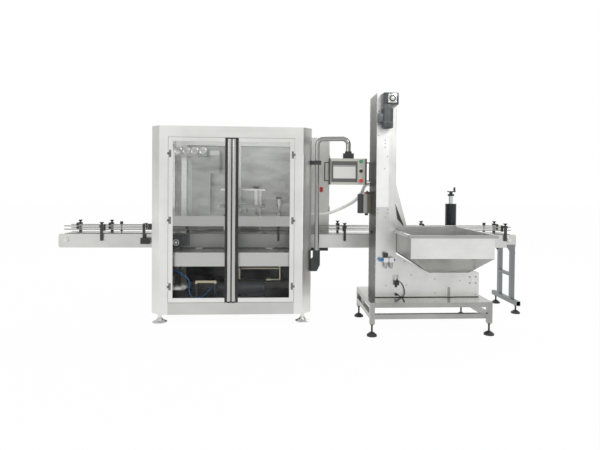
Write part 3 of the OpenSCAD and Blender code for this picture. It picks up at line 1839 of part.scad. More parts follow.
module elevator_gearmotor() {
  x0 = head_x - head_box_w / 2 - box_shift;
  z0 = top_z - head_box_h / 2;
  y0 = el_y0 - head_box_d;
  mx = head_x + motor_dx;
  my = el_y0 - tail_r - bolt_t;
  z1 = z0 - bell_h;
  z2 = z1 - motor_l2 + head_cap_l;
  color("dimgray") {
    difference() {
      block([x0, x0 + head_box_w], [y0, el_y0], [z0, z0 + head_box_h]);
      bar_y(head_x, [y0 + flange_t - pass, el_y0 + eps], top_z, axle_r + fit);
    }
    block([head_x - head_sq / 2, head_x + head_sq / 2], [y0 - flange_t, y0],
      [top_z - head_sq / 2, top_z + head_sq / 2]);
    bar_y(head_x, [y0 - flange_t - head_ring_t, y0 - flange_t], top_z, head_ring_r);
    bar_y(head_x, [y0 - flange_t - head_ring_t - bolt_t, y0 - flange_t], top_z, head_hub_r);
    for (i = [-1, 1], k = [-1, 1])
      bar_y(head_x + i * (head_sq / 2 - 2 * bolt_r), [y0 - flange_t - bolt_t, y0 - flange_t],
        top_z + k * (head_sq / 2 - 2 * bolt_r), bolt_r);
    bar_z(mx, my, [z1, z0], bell_r);
    bar_z(mx, my, [z2, z1], motor_r2);
    bar_z(mx, my, [z2 - head_cap_l, z2], tail_r);
    block([mx - motor_r2 - term_w, mx - motor_r2 / 2], [my - term_d / 2, my + term_d / 2],
      [z1 - head_cap_l - term_h, z1 - head_cap_l]);
  }
}

// Hopper

// Position of a funnel edge at height z, between its mouth and the upright walls
function slope(a, b, z) = a + (b - a) * (z - base_z) / (hop_wall_z - base_z);

module funnel(t, z0, z1) {
  x = [hop_x0 + mouth_dx0 + t, hop_x1 - mouth_dx1 - t];
  y = [el_y0 + t, el_y1 - t];
  intersection() {
    sheet_xz([[slope(x[0], hop_x0 + t, z0), z0], [slope(x[1], hop_x1 - t, z0), z0],
      [slope(x[1], hop_x1 - t, z1), z1], [slope(x[0], hop_x0 + t, z1), z1]], [hop_y0 - eps, hop_y1 + eps]);
    sheet_yz([[slope(y[0], hop_y0 + t, z0), z0], [slope(y[1], hop_y1 - t, z0), z0],
      [slope(y[1], hop_y1 - t, z1), z1], [slope(y[0], hop_y0 + t, z1), z1]], [hop_x0 - eps, hop_x1 + eps]);
  }
}

module hopper() {
  x = [hop_x0, hop_x1];
  y = [hop_y0, hop_y1];
  t = hop_t;
  color("silver")
    difference() {
      union() {
        funnel(0, base_z, hop_wall_z);
        block(x, y, [hop_wall_z, hop_z]);
        difference() {
          block([x[0] - hop_lip, x[1] + hop_lip], [y[0] - hop_lip, y[1] + hop_lip], [hop_z - lip_h, hop_z]);
          block([x[0] - hop_lip + t, x[1] + hop_lip - t], [y[0] - hop_lip + t, y[1] + hop_lip - t],
            [hop_z - lip_h - eps, hop_z - t]);
        }
      }
      funnel(t, base_z - eps, hop_wall_z + eps);
      block([x[0] + t, x[1] - t], [y[0] + t, y[1] - t], [hop_wall_z, hop_z + eps]);
      block([x[0] - hop_lip - eps, x[0]], [el_y0 - bolt_t, el_y1 + bolt_t],
        [hop_z - lip_h - eps, hop_z + eps]);
    }
}

// Fittings on the elevator

module control_box() {
  x = [el_x0 - ctrl_w, el_x0];
  y = [el_y0 + ctrl_in, el_y0 + ctrl_in + ctrl_d];
  z = [ctrl_z, ctrl_z + ctrl_h];
  color("gray") {
    block(x, y, z);
    block([x[0] - fin_back, x[0]], y, z);
    for (i = [0:fin_n - 1]) {
      b = y[0] + i * (ctrl_d - fin_t) / (fin_n - 1);
      block([x[0] - fin_w, x[0]], [b, b + fin_t], z);
    }
    for (e = [z[0] + ctrl_h / 3, z[0] + 2 * ctrl_h / 3])
      block([x[0] - fin_w + fin_back, x[0]], y, [e - fin_block / 2, e + fin_block / 2]);
    for (s = [1, 3])
      bar_z(x[0] + s * ctrl_w / 4, y[0] + ctrl_d / 2, [z[1], z[1] + gland_h], gland_r * 3 / 4);
    bar_z(x[0] + ctrl_w / 2, y[0] + ctrl_d / 2, [z[0] - gland_h, z[0]], gland_r);
  }
}

module air_unit() {
  x = el_x0 + air_dx;
  y1 = el_y0 - air_stand;
  y = y1 - air_box_d / 2;
  h = air_box / 2;
  color("gainsboro") {
    for (i = [0, 1]) {
      a = x + i * air_step;
      block([a - h, a + h], [y1 - air_box_d, y1], [air_z - h, air_z + h]);
      translate([a, y, air_z - h - bowl_h])
        cylinder(h = bowl_h, r1 = bowl_tip_r, r2 = bowl_r);
    }
    bar_x([x + h, x + air_step - h], y, air_z, air_r);
    block([x - h, x + air_step + h], [y1, el_y0], [air_z - h / 2, air_z + h / 2]);
    bar_x([x - h - air_l, x - h], y, air_z, air_r);
    bar_z(x - h - air_l, y, [air_z - elbow_r, air_z + elbow_r], elbow_r);
    bar_x([x + air_step + h, x + air_step + h + air_l / 2], y, air_z, air_r);
  }
}

module air_knob() {
  x = el_x0 + air_dx;
  y = el_y0 - air_stand - air_box_d / 2;
  z = air_z + air_box / 2;
  color("dimgray") {
    bar_z(x, y, [z, z + air_knob_h / 4], bowl_tip_r);
    bar_z(x, y, [z + air_knob_h / 4, z + air_knob_h], air_knob_r);
  }
}

module cap_sensor() {
  x = el_x0 + sens_dx;
  y = el_y0;
  w = sens_w / 2;
  color("dimgray") {
    block([x - w, x + w], [y - sens_d, y - bolt_t], [sens_z - sens_h / 2, sens_z + sens_h / 2]);
    block([x - w / 2, x + w / 2], [y - bolt_t, y], [sens_z - sens_arm * 3 / 4, sens_z + sens_arm]);
    block([x - w, x - w / 2], [y - sens_d, y - bolt_t + eps], [sens_z + sens_h / 2, sens_z + sens_arm]);
    block([x + w / 2, x + w], [y - sens_d, y - bolt_t + eps], [sens_z + sens_h / 2, sens_z + sens_arm]);
    block([x - w, x + w], [y - bolt_t, y], [sens_z + sens_h / 2, sens_z + sens_arm]);
    block([x - w / 2, x + w / 2 + eps], [y - sens_d / 2, y],
      [lead_end_z - sens_w / 4, lead_end_z + sens_w / 4]);
  }
}

// The ribbed hose from the cabinet's side to the column, and the sensor's lead
module flexible_leads() {
  hose = [for (p = hose_route) [cab_x + p[0], cab_y + p[1], p[2]]];
  lead = [for (p = lead_route) [cab_x + p[0], cab_y + p[1], p[2]]];
  color("lightgray") {
    ribbed_tube(smooth(hose, rib_steps), ribbed_r, rib_h, ribbed_bore, rib_sides);
    solid_tube(smooth(lead, 4), lead_r, rib_sides);
  }
}

// Crank column behind the outfeed

module crank_column() {
  x = cab_x + crank_dx;
  y = conv_y1 + crank_back;
  w = shelf_w / 2;
  color("dimgray")
    difference() {
      union() {
        block([x - w, x + w], [conv_y1, conv_y1 + shelf_t], [post_z0, crank_z0]);
        block([x - w, x + w], [conv_y1, y + w], [crank_z0 - shelf_t, crank_z0]);
        bar_z(x, y, [crank_z0, crank_z1], crank_r);
        bar_z(x, y, [crank_z1, crank_z2], crank_r2);
        bar_z(x, y, [crank_z2, crank_z2 + collar_t], collar_r);
      }
      bar_z(x, y, [crank_z2 + collar_t - crank_in, crank_z2 + collar_t + eps],
        crank_pin_r + fit);
    }
}

module crank_handle() {
  x = cab_x + crank_dx;
  y = conv_y1 + crank_back;
  z = crank_z2 + collar_t;
  color("silver") {
    bar_z(x, y, [z - crank_in, z + eps], crank_pin_r);
    bar_z(x, y, [z, z + crank_h], crank_n);
    block([x - crank_arm_l / 2, x + crank_arm_l / 2 + grip_r2], [y - crank_arm_w / 2, y + crank_arm_w / 2],
      [z + crank_h, z + crank_h + crank_arm_t]);
    bar_z(x + crank_arm_l / 2, y, [z + crank_h, z + crank_h + grip_l2], grip_r2);
  }
}

corner_posts();
cabinet_rails();
wall_panels();
clear_panels();
cabinet_feet();
post_hinges();
left_door_frame();
left_door_glass();
left_door_grip();
right_door_frame();
right_door_glass();
right_door_grip();
machine_table();
guide_columns();
head_carriage();
capping_spindle();
lift_knob();
star_knob();
front_clamp();
rear_clamp();
vacuum_pump();
valve_panel();
vacuum_hose();
conveyor_frame();
conveyor_chain();
guide_rails();
rail_clamps();
jar_stop();
leg_frame();
dark_feet();
conveyor_gearmotor();
drive_shaft();
left_end_shaft();
right_end_shaft();
electrical_box();
electrical_door();
main_switch();
arm_bracket();
arm_tube();
panel_housing();
panel_screen();
panel_handles();
start_button();
stop_button();
selector_switch();
stand();
elevator_plates();
elevator_covers();
elevator_belt();
head_pulley();
tail_pulley();
elevator_gearmotor();
hopper();
control_box();
air_unit();
air_knob();
cap_sensor();
flexible_leads();
crank_column();
crank_handle();
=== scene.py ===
# Looks of the vacuum capping line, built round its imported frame
import json
import math

import bmesh
import bpy
from mathutils import Matrix, Vector


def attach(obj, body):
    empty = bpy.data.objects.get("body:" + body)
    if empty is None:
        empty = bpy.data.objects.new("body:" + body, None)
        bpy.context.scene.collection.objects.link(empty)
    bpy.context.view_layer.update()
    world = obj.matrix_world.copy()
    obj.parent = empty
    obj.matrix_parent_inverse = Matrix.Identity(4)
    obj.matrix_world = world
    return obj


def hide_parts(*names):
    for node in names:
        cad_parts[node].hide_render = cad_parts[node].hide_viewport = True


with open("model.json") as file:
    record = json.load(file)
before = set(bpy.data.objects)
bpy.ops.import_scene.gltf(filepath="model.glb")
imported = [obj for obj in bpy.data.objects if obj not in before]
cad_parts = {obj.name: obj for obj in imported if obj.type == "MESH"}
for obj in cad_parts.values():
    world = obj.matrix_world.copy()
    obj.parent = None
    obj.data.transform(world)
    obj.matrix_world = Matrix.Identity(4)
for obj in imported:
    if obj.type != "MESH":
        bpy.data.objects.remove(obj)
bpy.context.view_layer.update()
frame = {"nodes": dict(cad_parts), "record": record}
nodes = frame["nodes"]
scene = bpy.context.scene
MM = 0.001

# Camera at the photograph's viewpoint, for an image of 600 by 450
FOCAL = 480.0
WIDE, HIGH = 600.0, 450.0
CENTRE = (300.24, 192.95)
EYE = (-0.249, -5.061, 1.413)
YAW, PITCH, ROLL = math.radians(3.43), math.radians(0.93), math.radians(0.48)
SENSOR = 36.0
ahead = Vector((math.sin(YAW) * math.cos(PITCH), math.cos(YAW) * math.cos(PITCH), -math.sin(PITCH)))
right = Vector((math.cos(YAW), -math.sin(YAW), 0))
above = right.cross(ahead)
side = math.cos(ROLL) * right + math.sin(ROLL) * above
top = -math.sin(ROLL) * right + math.cos(ROLL) * above
camera = bpy.data.objects.new("camera", bpy.data.cameras.new("camera"))
scene.collection.objects.link(camera)
camera.matrix_world = Matrix((
    (side.x, top.x, -ahead.x, EYE[0]),
    (side.y, top.y, -ahead.y, EYE[1]),
    (side.z, top.z, -ahead.z, EYE[2]),
    (0, 0, 0, 1)))
camera.data.sensor_width = SENSOR
camera.data.lens = SENSOR * FOCAL / WIDE
camera.data.shift_x = (WIDE / 2 - CENTRE[0]) / WIDE
camera.data.shift_y = (CENTRE[1] - HIGH / 2) / WIDE
camera.data.clip_end = 100.0
scene.camera = camera
scene.view_settings.view_transform = "Standard"


# Shader maths as expressions

class Value:
    """A socket, with the arithmetic that the finishes use."""

    def __init__(self, owner, socket):
        self.owner = owner
        self.socket = socket

    def _math(self, operation, *others, turned=False):
        values = [self, *others]
        if turned:
            values.reverse()
        return self.owner.node("ShaderNodeMath", {"operation": operation}, dict(enumerate(values)))

    def __add__(self, other):
        return self._math("ADD", other)

    __radd__ = __add__

    def __sub__(self, other):
        return self._math("SUBTRACT", other)

    def __rsub__(self, other):
        return self._math("SUBTRACT", other, turned=True)

    def __mul__(self, other):
        return self._math("MULTIPLY", other)

    __rmul__ = __mul__

    def __gt__(self, other):
        return self._math("GREATER_THAN", other)

    def __lt__(self, other):
        return self._math("LESS_THAN", other)

    def __abs__(self):
        return self._math("ABSOLUTE")

    def most(self, other):
        return self._math("MAXIMUM", other)


class Nodes:
    """A node tree emptied down to its output, with one method that makes every other node."""

    def __init__(self, tree, output):
        self.tree = tree
        tree.nodes.clear()
        self.out = tree.nodes.new(output)

    def node(self, kind, settings=None, values=None, output=0):
        made = self.tree.nodes.new(kind)
        for name, value in (settings or {}).items():
            if name == "stops":
                ramp = made.color_ramp
                while len(ramp.elements) < len(value):
                    ramp.elements.new(0.5)
                for element, (place, colour) in zip(ramp.elements, value):
                    element.position = place
                    element.color = (*colour, 1.0)
            else:
                setattr(made, name, value)
        for name, value in (values or {}).items():
            socket = made.inputs[name]
            if isinstance(value, Value):
                self.tree.links.new(value.socket, socket)
            else:
                socket.default_value = value
        return Value(self, made.outputs[output])

    def parts(self, vector):
        return [self.node("ShaderNodeSeparateXYZ", {}, {0: vector}, output=i) for i in range(3)]

    def ramp(self, value, low, high, a=0.0, b=1.0):
        values = {"Value": value, "From Min": low, "From Max": high, "To Min": a, "To Max": b}
        return self.node("ShaderNodeMapRange", {}, values)

    def close(self, shader):
        self.tree.links.new(shader.socket, self.out.inputs["Surface"])


class Finish(Nodes):
    """One procedural material, placed in metres of the part's own frame."""

    def __init__(self, name):
        self.material = bpy.data.materials.new(name)
        self.material.use_nodes = True
        super().__init__(self.material.node_tree, "ShaderNodeOutputMaterial")

    def place(self):
        return self.node("ShaderNodeTexCoord", output="Object")

    def stretched(self, x, y, z):
        return self.node("ShaderNodeMapping", {}, {"Vector": self.place(), "Scale": (x, y, z)})

    def noise(self, vector, scale, detail=3.0, rough=0.5):
        values = {"Vector": vector, "Scale": scale, "Detail": detail, "Roughness": rough}
        return self.node("ShaderNodeTexNoise", {}, values)

    def mix(self, share, a, b):
        pair = [(*c, 1.0) if isinstance(c, tuple) else c for c in (a, b)]
        return self.node("ShaderNodeMix", {"data_type": "RGBA"}, {0: share, 6: pair[0], 7: pair[1]}, output=2)

    def bump(self, height, strength, distance):
        return self.node("ShaderNodeBump", {}, {"Height": height, "Strength": strength, "Distance": distance})

    def edges(self, radius, samples=4):
        """1 on sharp edges and 0 on flat faces."""
        rounded = self.node("ShaderNodeBevel", {"samples": samples}, {"Radius": radius})
        flat = self.node("ShaderNodeNewGeometry", output="Normal")
        same = self.node("ShaderNodeVectorMath", {"operation": "DOT_PRODUCT"}, {0: rounded, 1: flat},
            output="Value")
        return self.ramp(same, 0.998, 0.9)

    def surface(self, values):
        self.close(self.node("ShaderNodeBsdfPrincipled", {}, values))
        return self.material


# Kinds of finish

GRINDING = {"x": (3.0, 240.0, 240.0), "y": (240.0, 3.0, 240.0), "z": (240.0, 240.0, 3.0)}
SCRATCH_DEPTH = 0.0006
MOULD_DEPTH = 0.0004


def ground(finish, along, grain, haze, speckle):
    """Ground steel's fine lines and broad clouds, and the shade from 0 to 1 that they make together."""
    lines = finish.noise(finish.stretched(*GRINDING[along]), 1.0, 4.0, 0.6)
    cloud = finish.noise(finish.place(), 2.3, 3.0)
    spots = finish.noise(finish.place(), 14.0, 4.0, 0.65)
    shade = (lines - 0.5) * (2 * grain) + (cloud - 0.5) * (2 * haze) + (spots - 0.5) * speckle
    return lines, cloud, finish.ramp(shade, -0.16, 0.16)


def scaled(tone, share, lift=0.0):
    return tuple(min(1.0, c * share + lift) for c in tone)


def brushed(name, tone, rough, along="x", grain=0.05, haze=0.10):
    """Ground stainless steel: fine lines one way and broad soft clouds."""
    finish = Finish(name)
    lines, cloud, shade = ground(finish, along, grain, haze, 0.05)
    return finish.surface({
        "Base Color": finish.mix(shade, scaled(tone, 1 - haze), scaled(tone, 1 + haze)),
        "Metallic": 1.0,
        "Roughness": finish.ramp(lines + cloud * 0.6, 0.55, 1.05, rough - 0.06, rough + 0.08),
        "Normal": finish.bump(lines, 0.05, SCRATCH_DEPTH)})


def moulded(name, tone, rough, grain=900.0, depth=0.12, metallic=0.0, coat=0.0, wear=0.35):
    """Plastic, rubber, paint or cast parts: fine grain, dust in broad patches, paler edges."""
    finish = Finish(name)
    fine = finish.noise(finish.place(), grain, 2.0)
    patch = finish.noise(finish.place(), 9.0, 4.0, 0.6)
    base = finish.mix(finish.ramp(patch, 0.35, 0.7), tone, scaled(tone, 1.25, 0.012))
    return finish.surface({
        "Base Color": finish.mix(finish.edges(0.002) * wear, base, scaled(tone, 1.4, 0.05)),
        "Metallic": metallic,
        "Roughness": finish.ramp(patch, 0.3, 0.75, rough - 0.05, rough + 0.08),
        "Coat Weight": coat,
        "Coat Roughness": 0.15,
        "Normal": finish.bump(fine, depth, MOULD_DEPTH)})


def clear(name, tint, dust, alpha, split, film_cut_below):
    """Thin window sheet: see-through and glossy, with a pale blotchy film that is cut back below the height
    split, painted shade that keeps the lower windows dark.
    """
    finish = Finish(name)
    wiped = finish.noise(finish.stretched(1.5, 1.5, 5.0), 2.0, 5.0, 0.65)
    blotches = finish.noise(finish.stretched(3.0, 3.0, 9.0), 1.0, 5.0, 0.7)
    height = finish.parts(finish.place())[2]
    film = finish.ramp(wiped * 0.5 + blotches * 0.5, 0.38, 0.66, alpha, alpha + dust)
    return finish.surface({
        "Base Color": (*tint, 1.0),
        "Roughness": finish.ramp(wiped, 0.4, 0.8, 0.03, 0.12),
        # Painted shade: less pale film below the split, so the lower windows look dark.
        "Alpha": film * (1 - film_cut_below * (height < split)),
        "Specular IOR Level": 0.6})


def zoned(name, base, zones, along="z", grain=0.05, haze=0.10, bump=0.05):
    """One skin with regions: base and each zone are (tone, metallic, roughness), and a zone's test is an
    expression on x, y and z in metres that gives 1 inside it."""
    finish = Finish(name)
    place = finish.parts(finish.place())
    lines, _, shade = ground(finish, along, grain, haze, 0.06)
    masks = [test(*place) for test, _ in zones]

    def spread(tone):
        return finish.mix(shade, scaled(tone, 1 - haze), scaled(tone, 1 + haze, 0.004))

    def by_zone(column):
        """The base's number, or the zones' numbers by their masks where they differ from it."""
        value = base[column]
        if all(skin[column] == value for _, skin in zones):
            return value
        for inside, (_, skin) in zip(masks, zones):
            value = inside * (skin[column] - value) + value
        return value

    colour = spread(base[0])
    for inside, (_, skin) in zip(masks, zones):
        colour = finish.mix(inside, colour, spread(skin[0]))
    return finish.surface({
        "Base Color": colour,
        "Metallic": by_zone(1),
        "Roughness": by_zone(2) + (lines - 0.5) * 0.12,
        "Normal": finish.bump(lines, bump, SCRATCH_DEPTH)})


def between(value, low, high):
    return (value > low) * (value < high)


def steel(grey, rough, cool=0.015):
    """Bare steel as a zone's (tone, metallic, roughness)."""
    return (grey, grey, grey - cool), 1.0, rough


# Finishes of this machine

SILVER = steel(0.76, 0.33)
SHADOW = ((0.022, 0.024, 0.027), 0.2, 0.55)
JET = ((0.018, 0.018, 0.019), 0.0, 0.42)
RUBBER = ((0.012, 0.012, 0.013), 0.0, 0.5)
SCREEN = ((0.62, 0.62, 0.595), 0.0, 0.22)
SCREEN_BAR = ((0.34, 0.35, 0.35), 0.0, 0.22)

# Where the zones end, in metres of the part's frame
INNER_LEFT, INNER_RIGHT = -1.444, 0.144
CABINET_LEFT, CABINET_RIGHT = -1.46, 0.16
MIDDLE_X = -0.65
TABLE_HEIGHT = 0.70
WINDOW_SPLIT = 1.04
SCREEN_SIDES = (0.376, 0.604)
finishes = {}


def make(name, kind, *values, **more):
    finishes[name] = kind(name, *values, **more)


make("stainless", brushed, (0.76, 0.76, 0.745), 0.33, "z")
make("polished", brushed, (0.74, 0.74, 0.73), 0.16, "z", grain=0.02, haze=0.05)
make("chain", brushed, (0.50, 0.50, 0.49), 0.24, "y", grain=0.08)
make("dull", brushed, (0.36, 0.365, 0.35), 0.42, "z", haze=0.16)
make("glass", clear, (0.80, 0.82, 0.81), 0.17, 0.01, WINDOW_SPLIT, 0.86)
make("head_metal", brushed, (0.20, 0.20, 0.195), 0.30)
make("black", moulded, (0.022, 0.022, 0.023), 0.42)
make("white", moulded, (0.78, 0.78, 0.76), 0.40)
make("red", moulded, (0.62, 0.035, 0.022), 0.30, coat=0.4, wear=0.2)
make("dark_red", moulded, (0.20, 0.022, 0.018), 0.4)
make("green", moulded, (0.02, 0.36, 0.12), 0.30, coat=0.4, wear=0.2)
make("dark_paint", moulded, (0.040, 0.045, 0.050), 0.34, 500.0, 0.18, coat=0.3)
make("motor", moulded, (0.105, 0.112, 0.118), 0.40, 320.0, 0.35, metallic=0.3, coat=0.2)
make("black_cast", moulded, (0.018, 0.019, 0.020), 0.50, 260.0, 0.5)
make("belt", moulded, (0.55, 0.56, 0.52), 0.6, 600.0, 0.2)
make("blue", moulded, (0.02, 0.16, 0.42), 0.28, coat=0.3)
make("hose", moulded, (0.70, 0.70, 0.69), 0.42, 500.0, 0.1)
make("box_steel", brushed, (0.60, 0.60, 0.58), 0.38, "z", haze=0.14)
make("arm_steel", brushed, (0.36, 0.36, 0.355), 0.13, "z", grain=0.03)
make("rail_rods", brushed, (0.36, 0.36, 0.35), 0.32, grain=0.02)

make("grip", zoned, ((0.50, 0.50, 0.49), 1.0, 0.22), [
    (lambda x, y, z: abs(x - MIDDLE_X) > 0.0447, RUBBER),
    (lambda x, y, z: abs(x - MIDDLE_X) < 0.0022, ((0.10, 0.10, 0.10), 0.6, 0.4)),
    (lambda x, y, z: abs(z - 1.052) > 0.8195, ((0.014, 0.014, 0.015), 0.0, 0.4))])
make("walls", zoned, ((0.46, 0.465, 0.45), 1.0, 0.36), [
    (lambda x, y, z: (z < TABLE_HEIGHT) * between(x, INNER_LEFT, INNER_RIGHT) * (y < 0.9215), SHADOW)],
    haze=0.22, grain=0.08)
make("posts", zoned, SILVER, [
    # Painted highlight: a near-white strip along the fold edge of the chamfer.
    (lambda x, y, z: between(x, 0.068, 0.0745) * between(z, 0.751, 1.721) * (y < -0.1),
        ((0.95, 0.95, 0.95), 0.0, 0.3))], haze=0.17)
make("rail_steel", zoned, SILVER, [(lambda x, y, z: z < 0.22, steel(0.56, 0.32))], along="x", haze=0.17)
make("door_steel", zoned, SILVER, [
    (lambda x, y, z: between(z, 0.9905, 1.0945) * (abs(x - MIDDLE_X) < 0.5885),
        ((0.40, 0.405, 0.40), 1.0, 0.34)),
    (lambda x, y, z: (y > -0.150) + (y < -0.179), ((0.20, 0.20, 0.20), 1.0, 0.4))], haze=0.16)
make("table_steel", zoned, steel(0.50, 0.30), [
    (lambda x, y, z: (z < 0.7035) * (y > -0.1135), SHADOW)], along="x")
make("inside_steel", zoned, ((0.34, 0.345, 0.335), 1.0, 0.36), [
    (lambda x, y, z: (y < 0.7) * between(z, 1.76, 1.86), ((0.62, 0.62, 0.61), 0.2, 0.3)),
    (lambda x, y, z: (z > 1.745) * (y > 0.7), ((0.40, 0.40, 0.39), 1.0, 0.4))], haze=0.16)
make("pump_parts", zoned, ((0.030, 0.034, 0.044), 0.3, 0.40), [
    (lambda x, y, z: z > 0.37, ((0.42, 0.38, 0.28), 1.0, 0.28)),
    (lambda x, y, z: (x < -1.19) * (z < 0.45), ((0.55, 0.55, 0.54), 0.8, 0.3))])
make("conveyor_steel", zoned, steel(0.60, 0.34), [
    # Painted shade: the stretch inside the cabinet is darker.
    (lambda x, y, z: between(x, CABINET_LEFT, CABINET_RIGHT), ((0.25, 0.255, 0.25), 1.0, 0.36))],
    along="x", haze=0.20)
make("leg_parts", zoned, ((0.22, 0.235, 0.24), 1.0, 0.30), [(lambda x, y, z: x < 0.6, JET)], haze=0.18)
make("column", zoned, ((0.66, 0.665, 0.65), 1.0, 0.34), [
    (lambda x, y, z: z > 1.207, ((0.90, 0.90, 0.89), 0.6, 0.36)),
    # Painted shadow: the lowest few millimetres of the plates, just above the stand, are black as the shadow
    # line under the elevator.
    (lambda x, y, z: z < 0.325, ((0.03, 0.03, 0.03), 0.0, 0.6))], haze=0.22)
make("column_side", zoned, steel(0.74, 0.34), [
    (lambda x, y, z: (x < 0.7735) * (y < -0.0905), ((0.13, 0.132, 0.122), 0.9, 0.42))],
    haze=0.30, grain=0.12)
make("crank_finish", zoned, ((0.016, 0.018, 0.021), 0.3, 0.15), [
    (lambda x, y, z: between(z, 1.2045, 1.2975), ((0.66, 0.67, 0.68), 1.0, 0.2))], grain=0.02)
make("panel_box", zoned, ((0.40, 0.40, 0.37), 0.8, 0.38), [
    (lambda x, y, z: z > 1.6885, JET),
    (lambda x, y, z: (abs(x - 0.526) > 0.1785) * (y < -0.2), ((0.05, 0.05, 0.05), 0.4, 0.4))], along="x")
make("panel_face", zoned, ((0.50, 0.50, 0.455), 0.6, 0.38), [
    (lambda x, y, z: (y < -0.2095) * (x < 0.626), ((0.105, 0.107, 0.105), 0.3, 0.35)),
    (lambda x, y, z: (y < -0.209) * between(x, *SCREEN_SIDES) * between(z, 1.485, 1.620), SCREEN),
    (lambda x, y, z: (y < -0.209) * between(x, *SCREEN_SIDES) * between(z, 1.603, 1.620), SCREEN_BAR)],
    along="x", grain=0.02, haze=0.05, bump=0.02)
make("drive_box", zoned, ((0.50, 0.50, 0.49), 0.9, 0.36), [
    (lambda x, y, z: x < 0.6985, ((0.09, 0.092, 0.095), 0.6, 0.4)),
    (lambda x, y, z: x > 0.737, ((0.17, 0.17, 0.13), 0.2, 0.45)),
    (lambda x, y, z: z < 1.1275, JET)])
make("air_parts", zoned, ((0.74, 0.74, 0.73), 0.5, 0.25), [
    (lambda x, y, z: z < 0.671, ((0.42, 0.44, 0.45), 0.1, 0.12)),
    (lambda x, y, z: (x < 0.8425) + (x > 0.9415), ((0.03, 0.20, 0.52), 0.0, 0.3))], grain=0.01)
make("sensor_parts", zoned, JET, [(lambda x, y, z: z > 0.4935, ((0.62, 0.62, 0.61), 0.8, 0.3))])
make("stand_steel", zoned, ((0.34, 0.34, 0.33), 1.0, 0.28), [
    (lambda x, y, z: z > 0.3175, ((0.50, 0.50, 0.48), 1.0, 0.20))], along="x", haze=0.28)
make("hopper_steel", zoned, ((0.74, 0.74, 0.73), 1.0, 0.30), [
    # Painted shade: the lower funnel, which faces down, is darker.
    (lambda x, y, z: z < 0.7715, ((0.25, 0.25, 0.24), 1.0, 0.32)),
    (lambda x, y, z: (z > 0.956) * (y < -0.91), steel(0.40, 0.30)),
    # Painted shade: the left part below the rim is darker.
    (lambda x, y, z: (x < 0.9785) * (z < 0.95), steel(0.52, 0.32))], along="x", haze=0.22)

by_slot = {
    "stainless": "stainless", "polished_steel": "polished", "chain_steel": "chain", "clear_glass": "glass",
    "head_metal": "head_metal", "black_plastic": "black", "white_plastic": "white", "red_plastic": "red",
    "green_plastic": "green", "dark_paint": "dark_paint", "motor_grey": "motor",
    "black_cast": "black_cast", "belt_rubber": "belt", "blue_hose": "blue", "grey_hose": "hose",
}
by_node = {
    "left_door_grip": "grip", "right_door_grip": "grip", "wall_panels": "walls", "corner_posts": "posts",
    "elevator_plates": "column", "elevator_covers": "column_side", "crank_column": "crank_finish",
    "crank_handle": "black", "panel_housing": "panel_box", "panel_screen": "panel_face",
    "control_box": "drive_box", "air_unit": "air_parts", "cap_sensor": "sensor_parts",
    "valve_panel": "inside_steel", "machine_table": "table_steel", "vacuum_pump": "pump_parts",
    "electrical_box": "box_steel", "electrical_door": "box_steel", "leg_frame": "leg_parts",
    "stand": "stand_steel", "hopper": "hopper_steel", "guide_rails": "rail_rods",
    "conveyor_frame": "conveyor_steel", "arm_tube": "arm_steel", "left_door_frame": "door_steel",
    "right_door_frame": "door_steel", "cabinet_rails": "rail_steel",
}
for row in frame["record"]["subparts"]:
    name = row["node"]
    finish = finishes[by_node.get(name) or by_slot[row["material_slot"]]]
    mesh = nodes[name].data
    if not mesh.materials:
        mesh.materials.append(finish)
    for i in range(len(mesh.materials)):
        mesh.materials[i] = finish


# Makers of meshes, in millimetres of the part's own frame

def add_piece(name, build, finish, body="machine", replaces=None, angle=35):
    """A piece that build fills, riding on body, with its finish."""
    work = bmesh.new()
    build(work)
    bmesh.ops.recalc_face_normals(work, faces=work.faces)
    mesh = bpy.data.meshes.new(name)
    work.to_mesh(mesh)
    work.free()
    mesh.materials.append(finishes[finish])
    made = bpy.data.objects.new(name, mesh)
    scene.collection.objects.link(made)
    mesh.shade_smooth()
    mesh.set_sharp_from_angle(angle=math.radians(angle))
    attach(made, body)
    if replaces:
        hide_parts(replaces)
    return made


def add_block(work, x, y, z, bevel=0.0):
    """A block between three pairs of limits, with rounded edges where bevel is given."""
    verts = bmesh.ops.create_cube(work, size=1.0)["verts"]
    for v in verts:
        v.co = Vector([(low + high) / 2 + c * (high - low) for c, (low, high) in zip(v.co, (x, y, z))]) * MM
    if bevel:
        edges = list({e for v in verts for e in v.link_edges})
        bmesh.ops.bevel(work, geom=edges, offset=bevel * MM, segments=2, affect="EDGES", profile=0.6)


def add_rings(work, rings):
    """A closed skin through rings of as many points each, with both ends filled."""
    rings = [[work.verts.new(Vector(point) * MM) for point in ring] for ring in rings]
    for a, b in zip(rings, rings[1:]):
        for i in range(len(a)):
            j = (i + 1) % len(a)
            work.faces.new((a[i], a[j], b[j], b[i]))
    work.faces.new(rings[0][::-1])
    work.faces.new(rings[-1])


def add_turned(work, axis, centre, profile, sides=40):
    """A turned body round a line along axis through centre; profile is (along, radius) pairs."""
    rings = []
    for along, radius in profile:
        ring = []
        for i in range(sides):
            turn = 2 * math.pi * i / sides
            u, v = math.cos(turn) * radius, math.sin(turn) * radius
            point = {"x": (along, u, v), "y": (v, along, u), "z": (u, v, along)}[axis]
            ring.append([c + p for c, p in zip(centre, point)])
        rings.append(ring)
    add_rings(work, rings)


def add_tube(work, points, radii, sides):
    """A round tube along points, with one radius for each."""
    rings = []
    for i, place in enumerate(points):
        along = (points[min(i + 1, len(points) - 1)] - points[max(i - 1, 0)]).normalized()
        a = along.cross(Vector((0, 1, 0))).normalized()
        b = a.cross(along)
        turns = [2 * math.pi * k / sides for k in range(sides)]
        rings.append([place + radii[i] * (math.cos(turn) * a + math.sin(turn) * b) for turn in turns])
    add_rings(work, rings)


# Cords: the ribbed hose, the sensor's lead and the blue vacuum hose

# From the cabinet's front middle, where the routes were measured, to the part's frame
MIDDLE = Vector((-650, -177, 0))


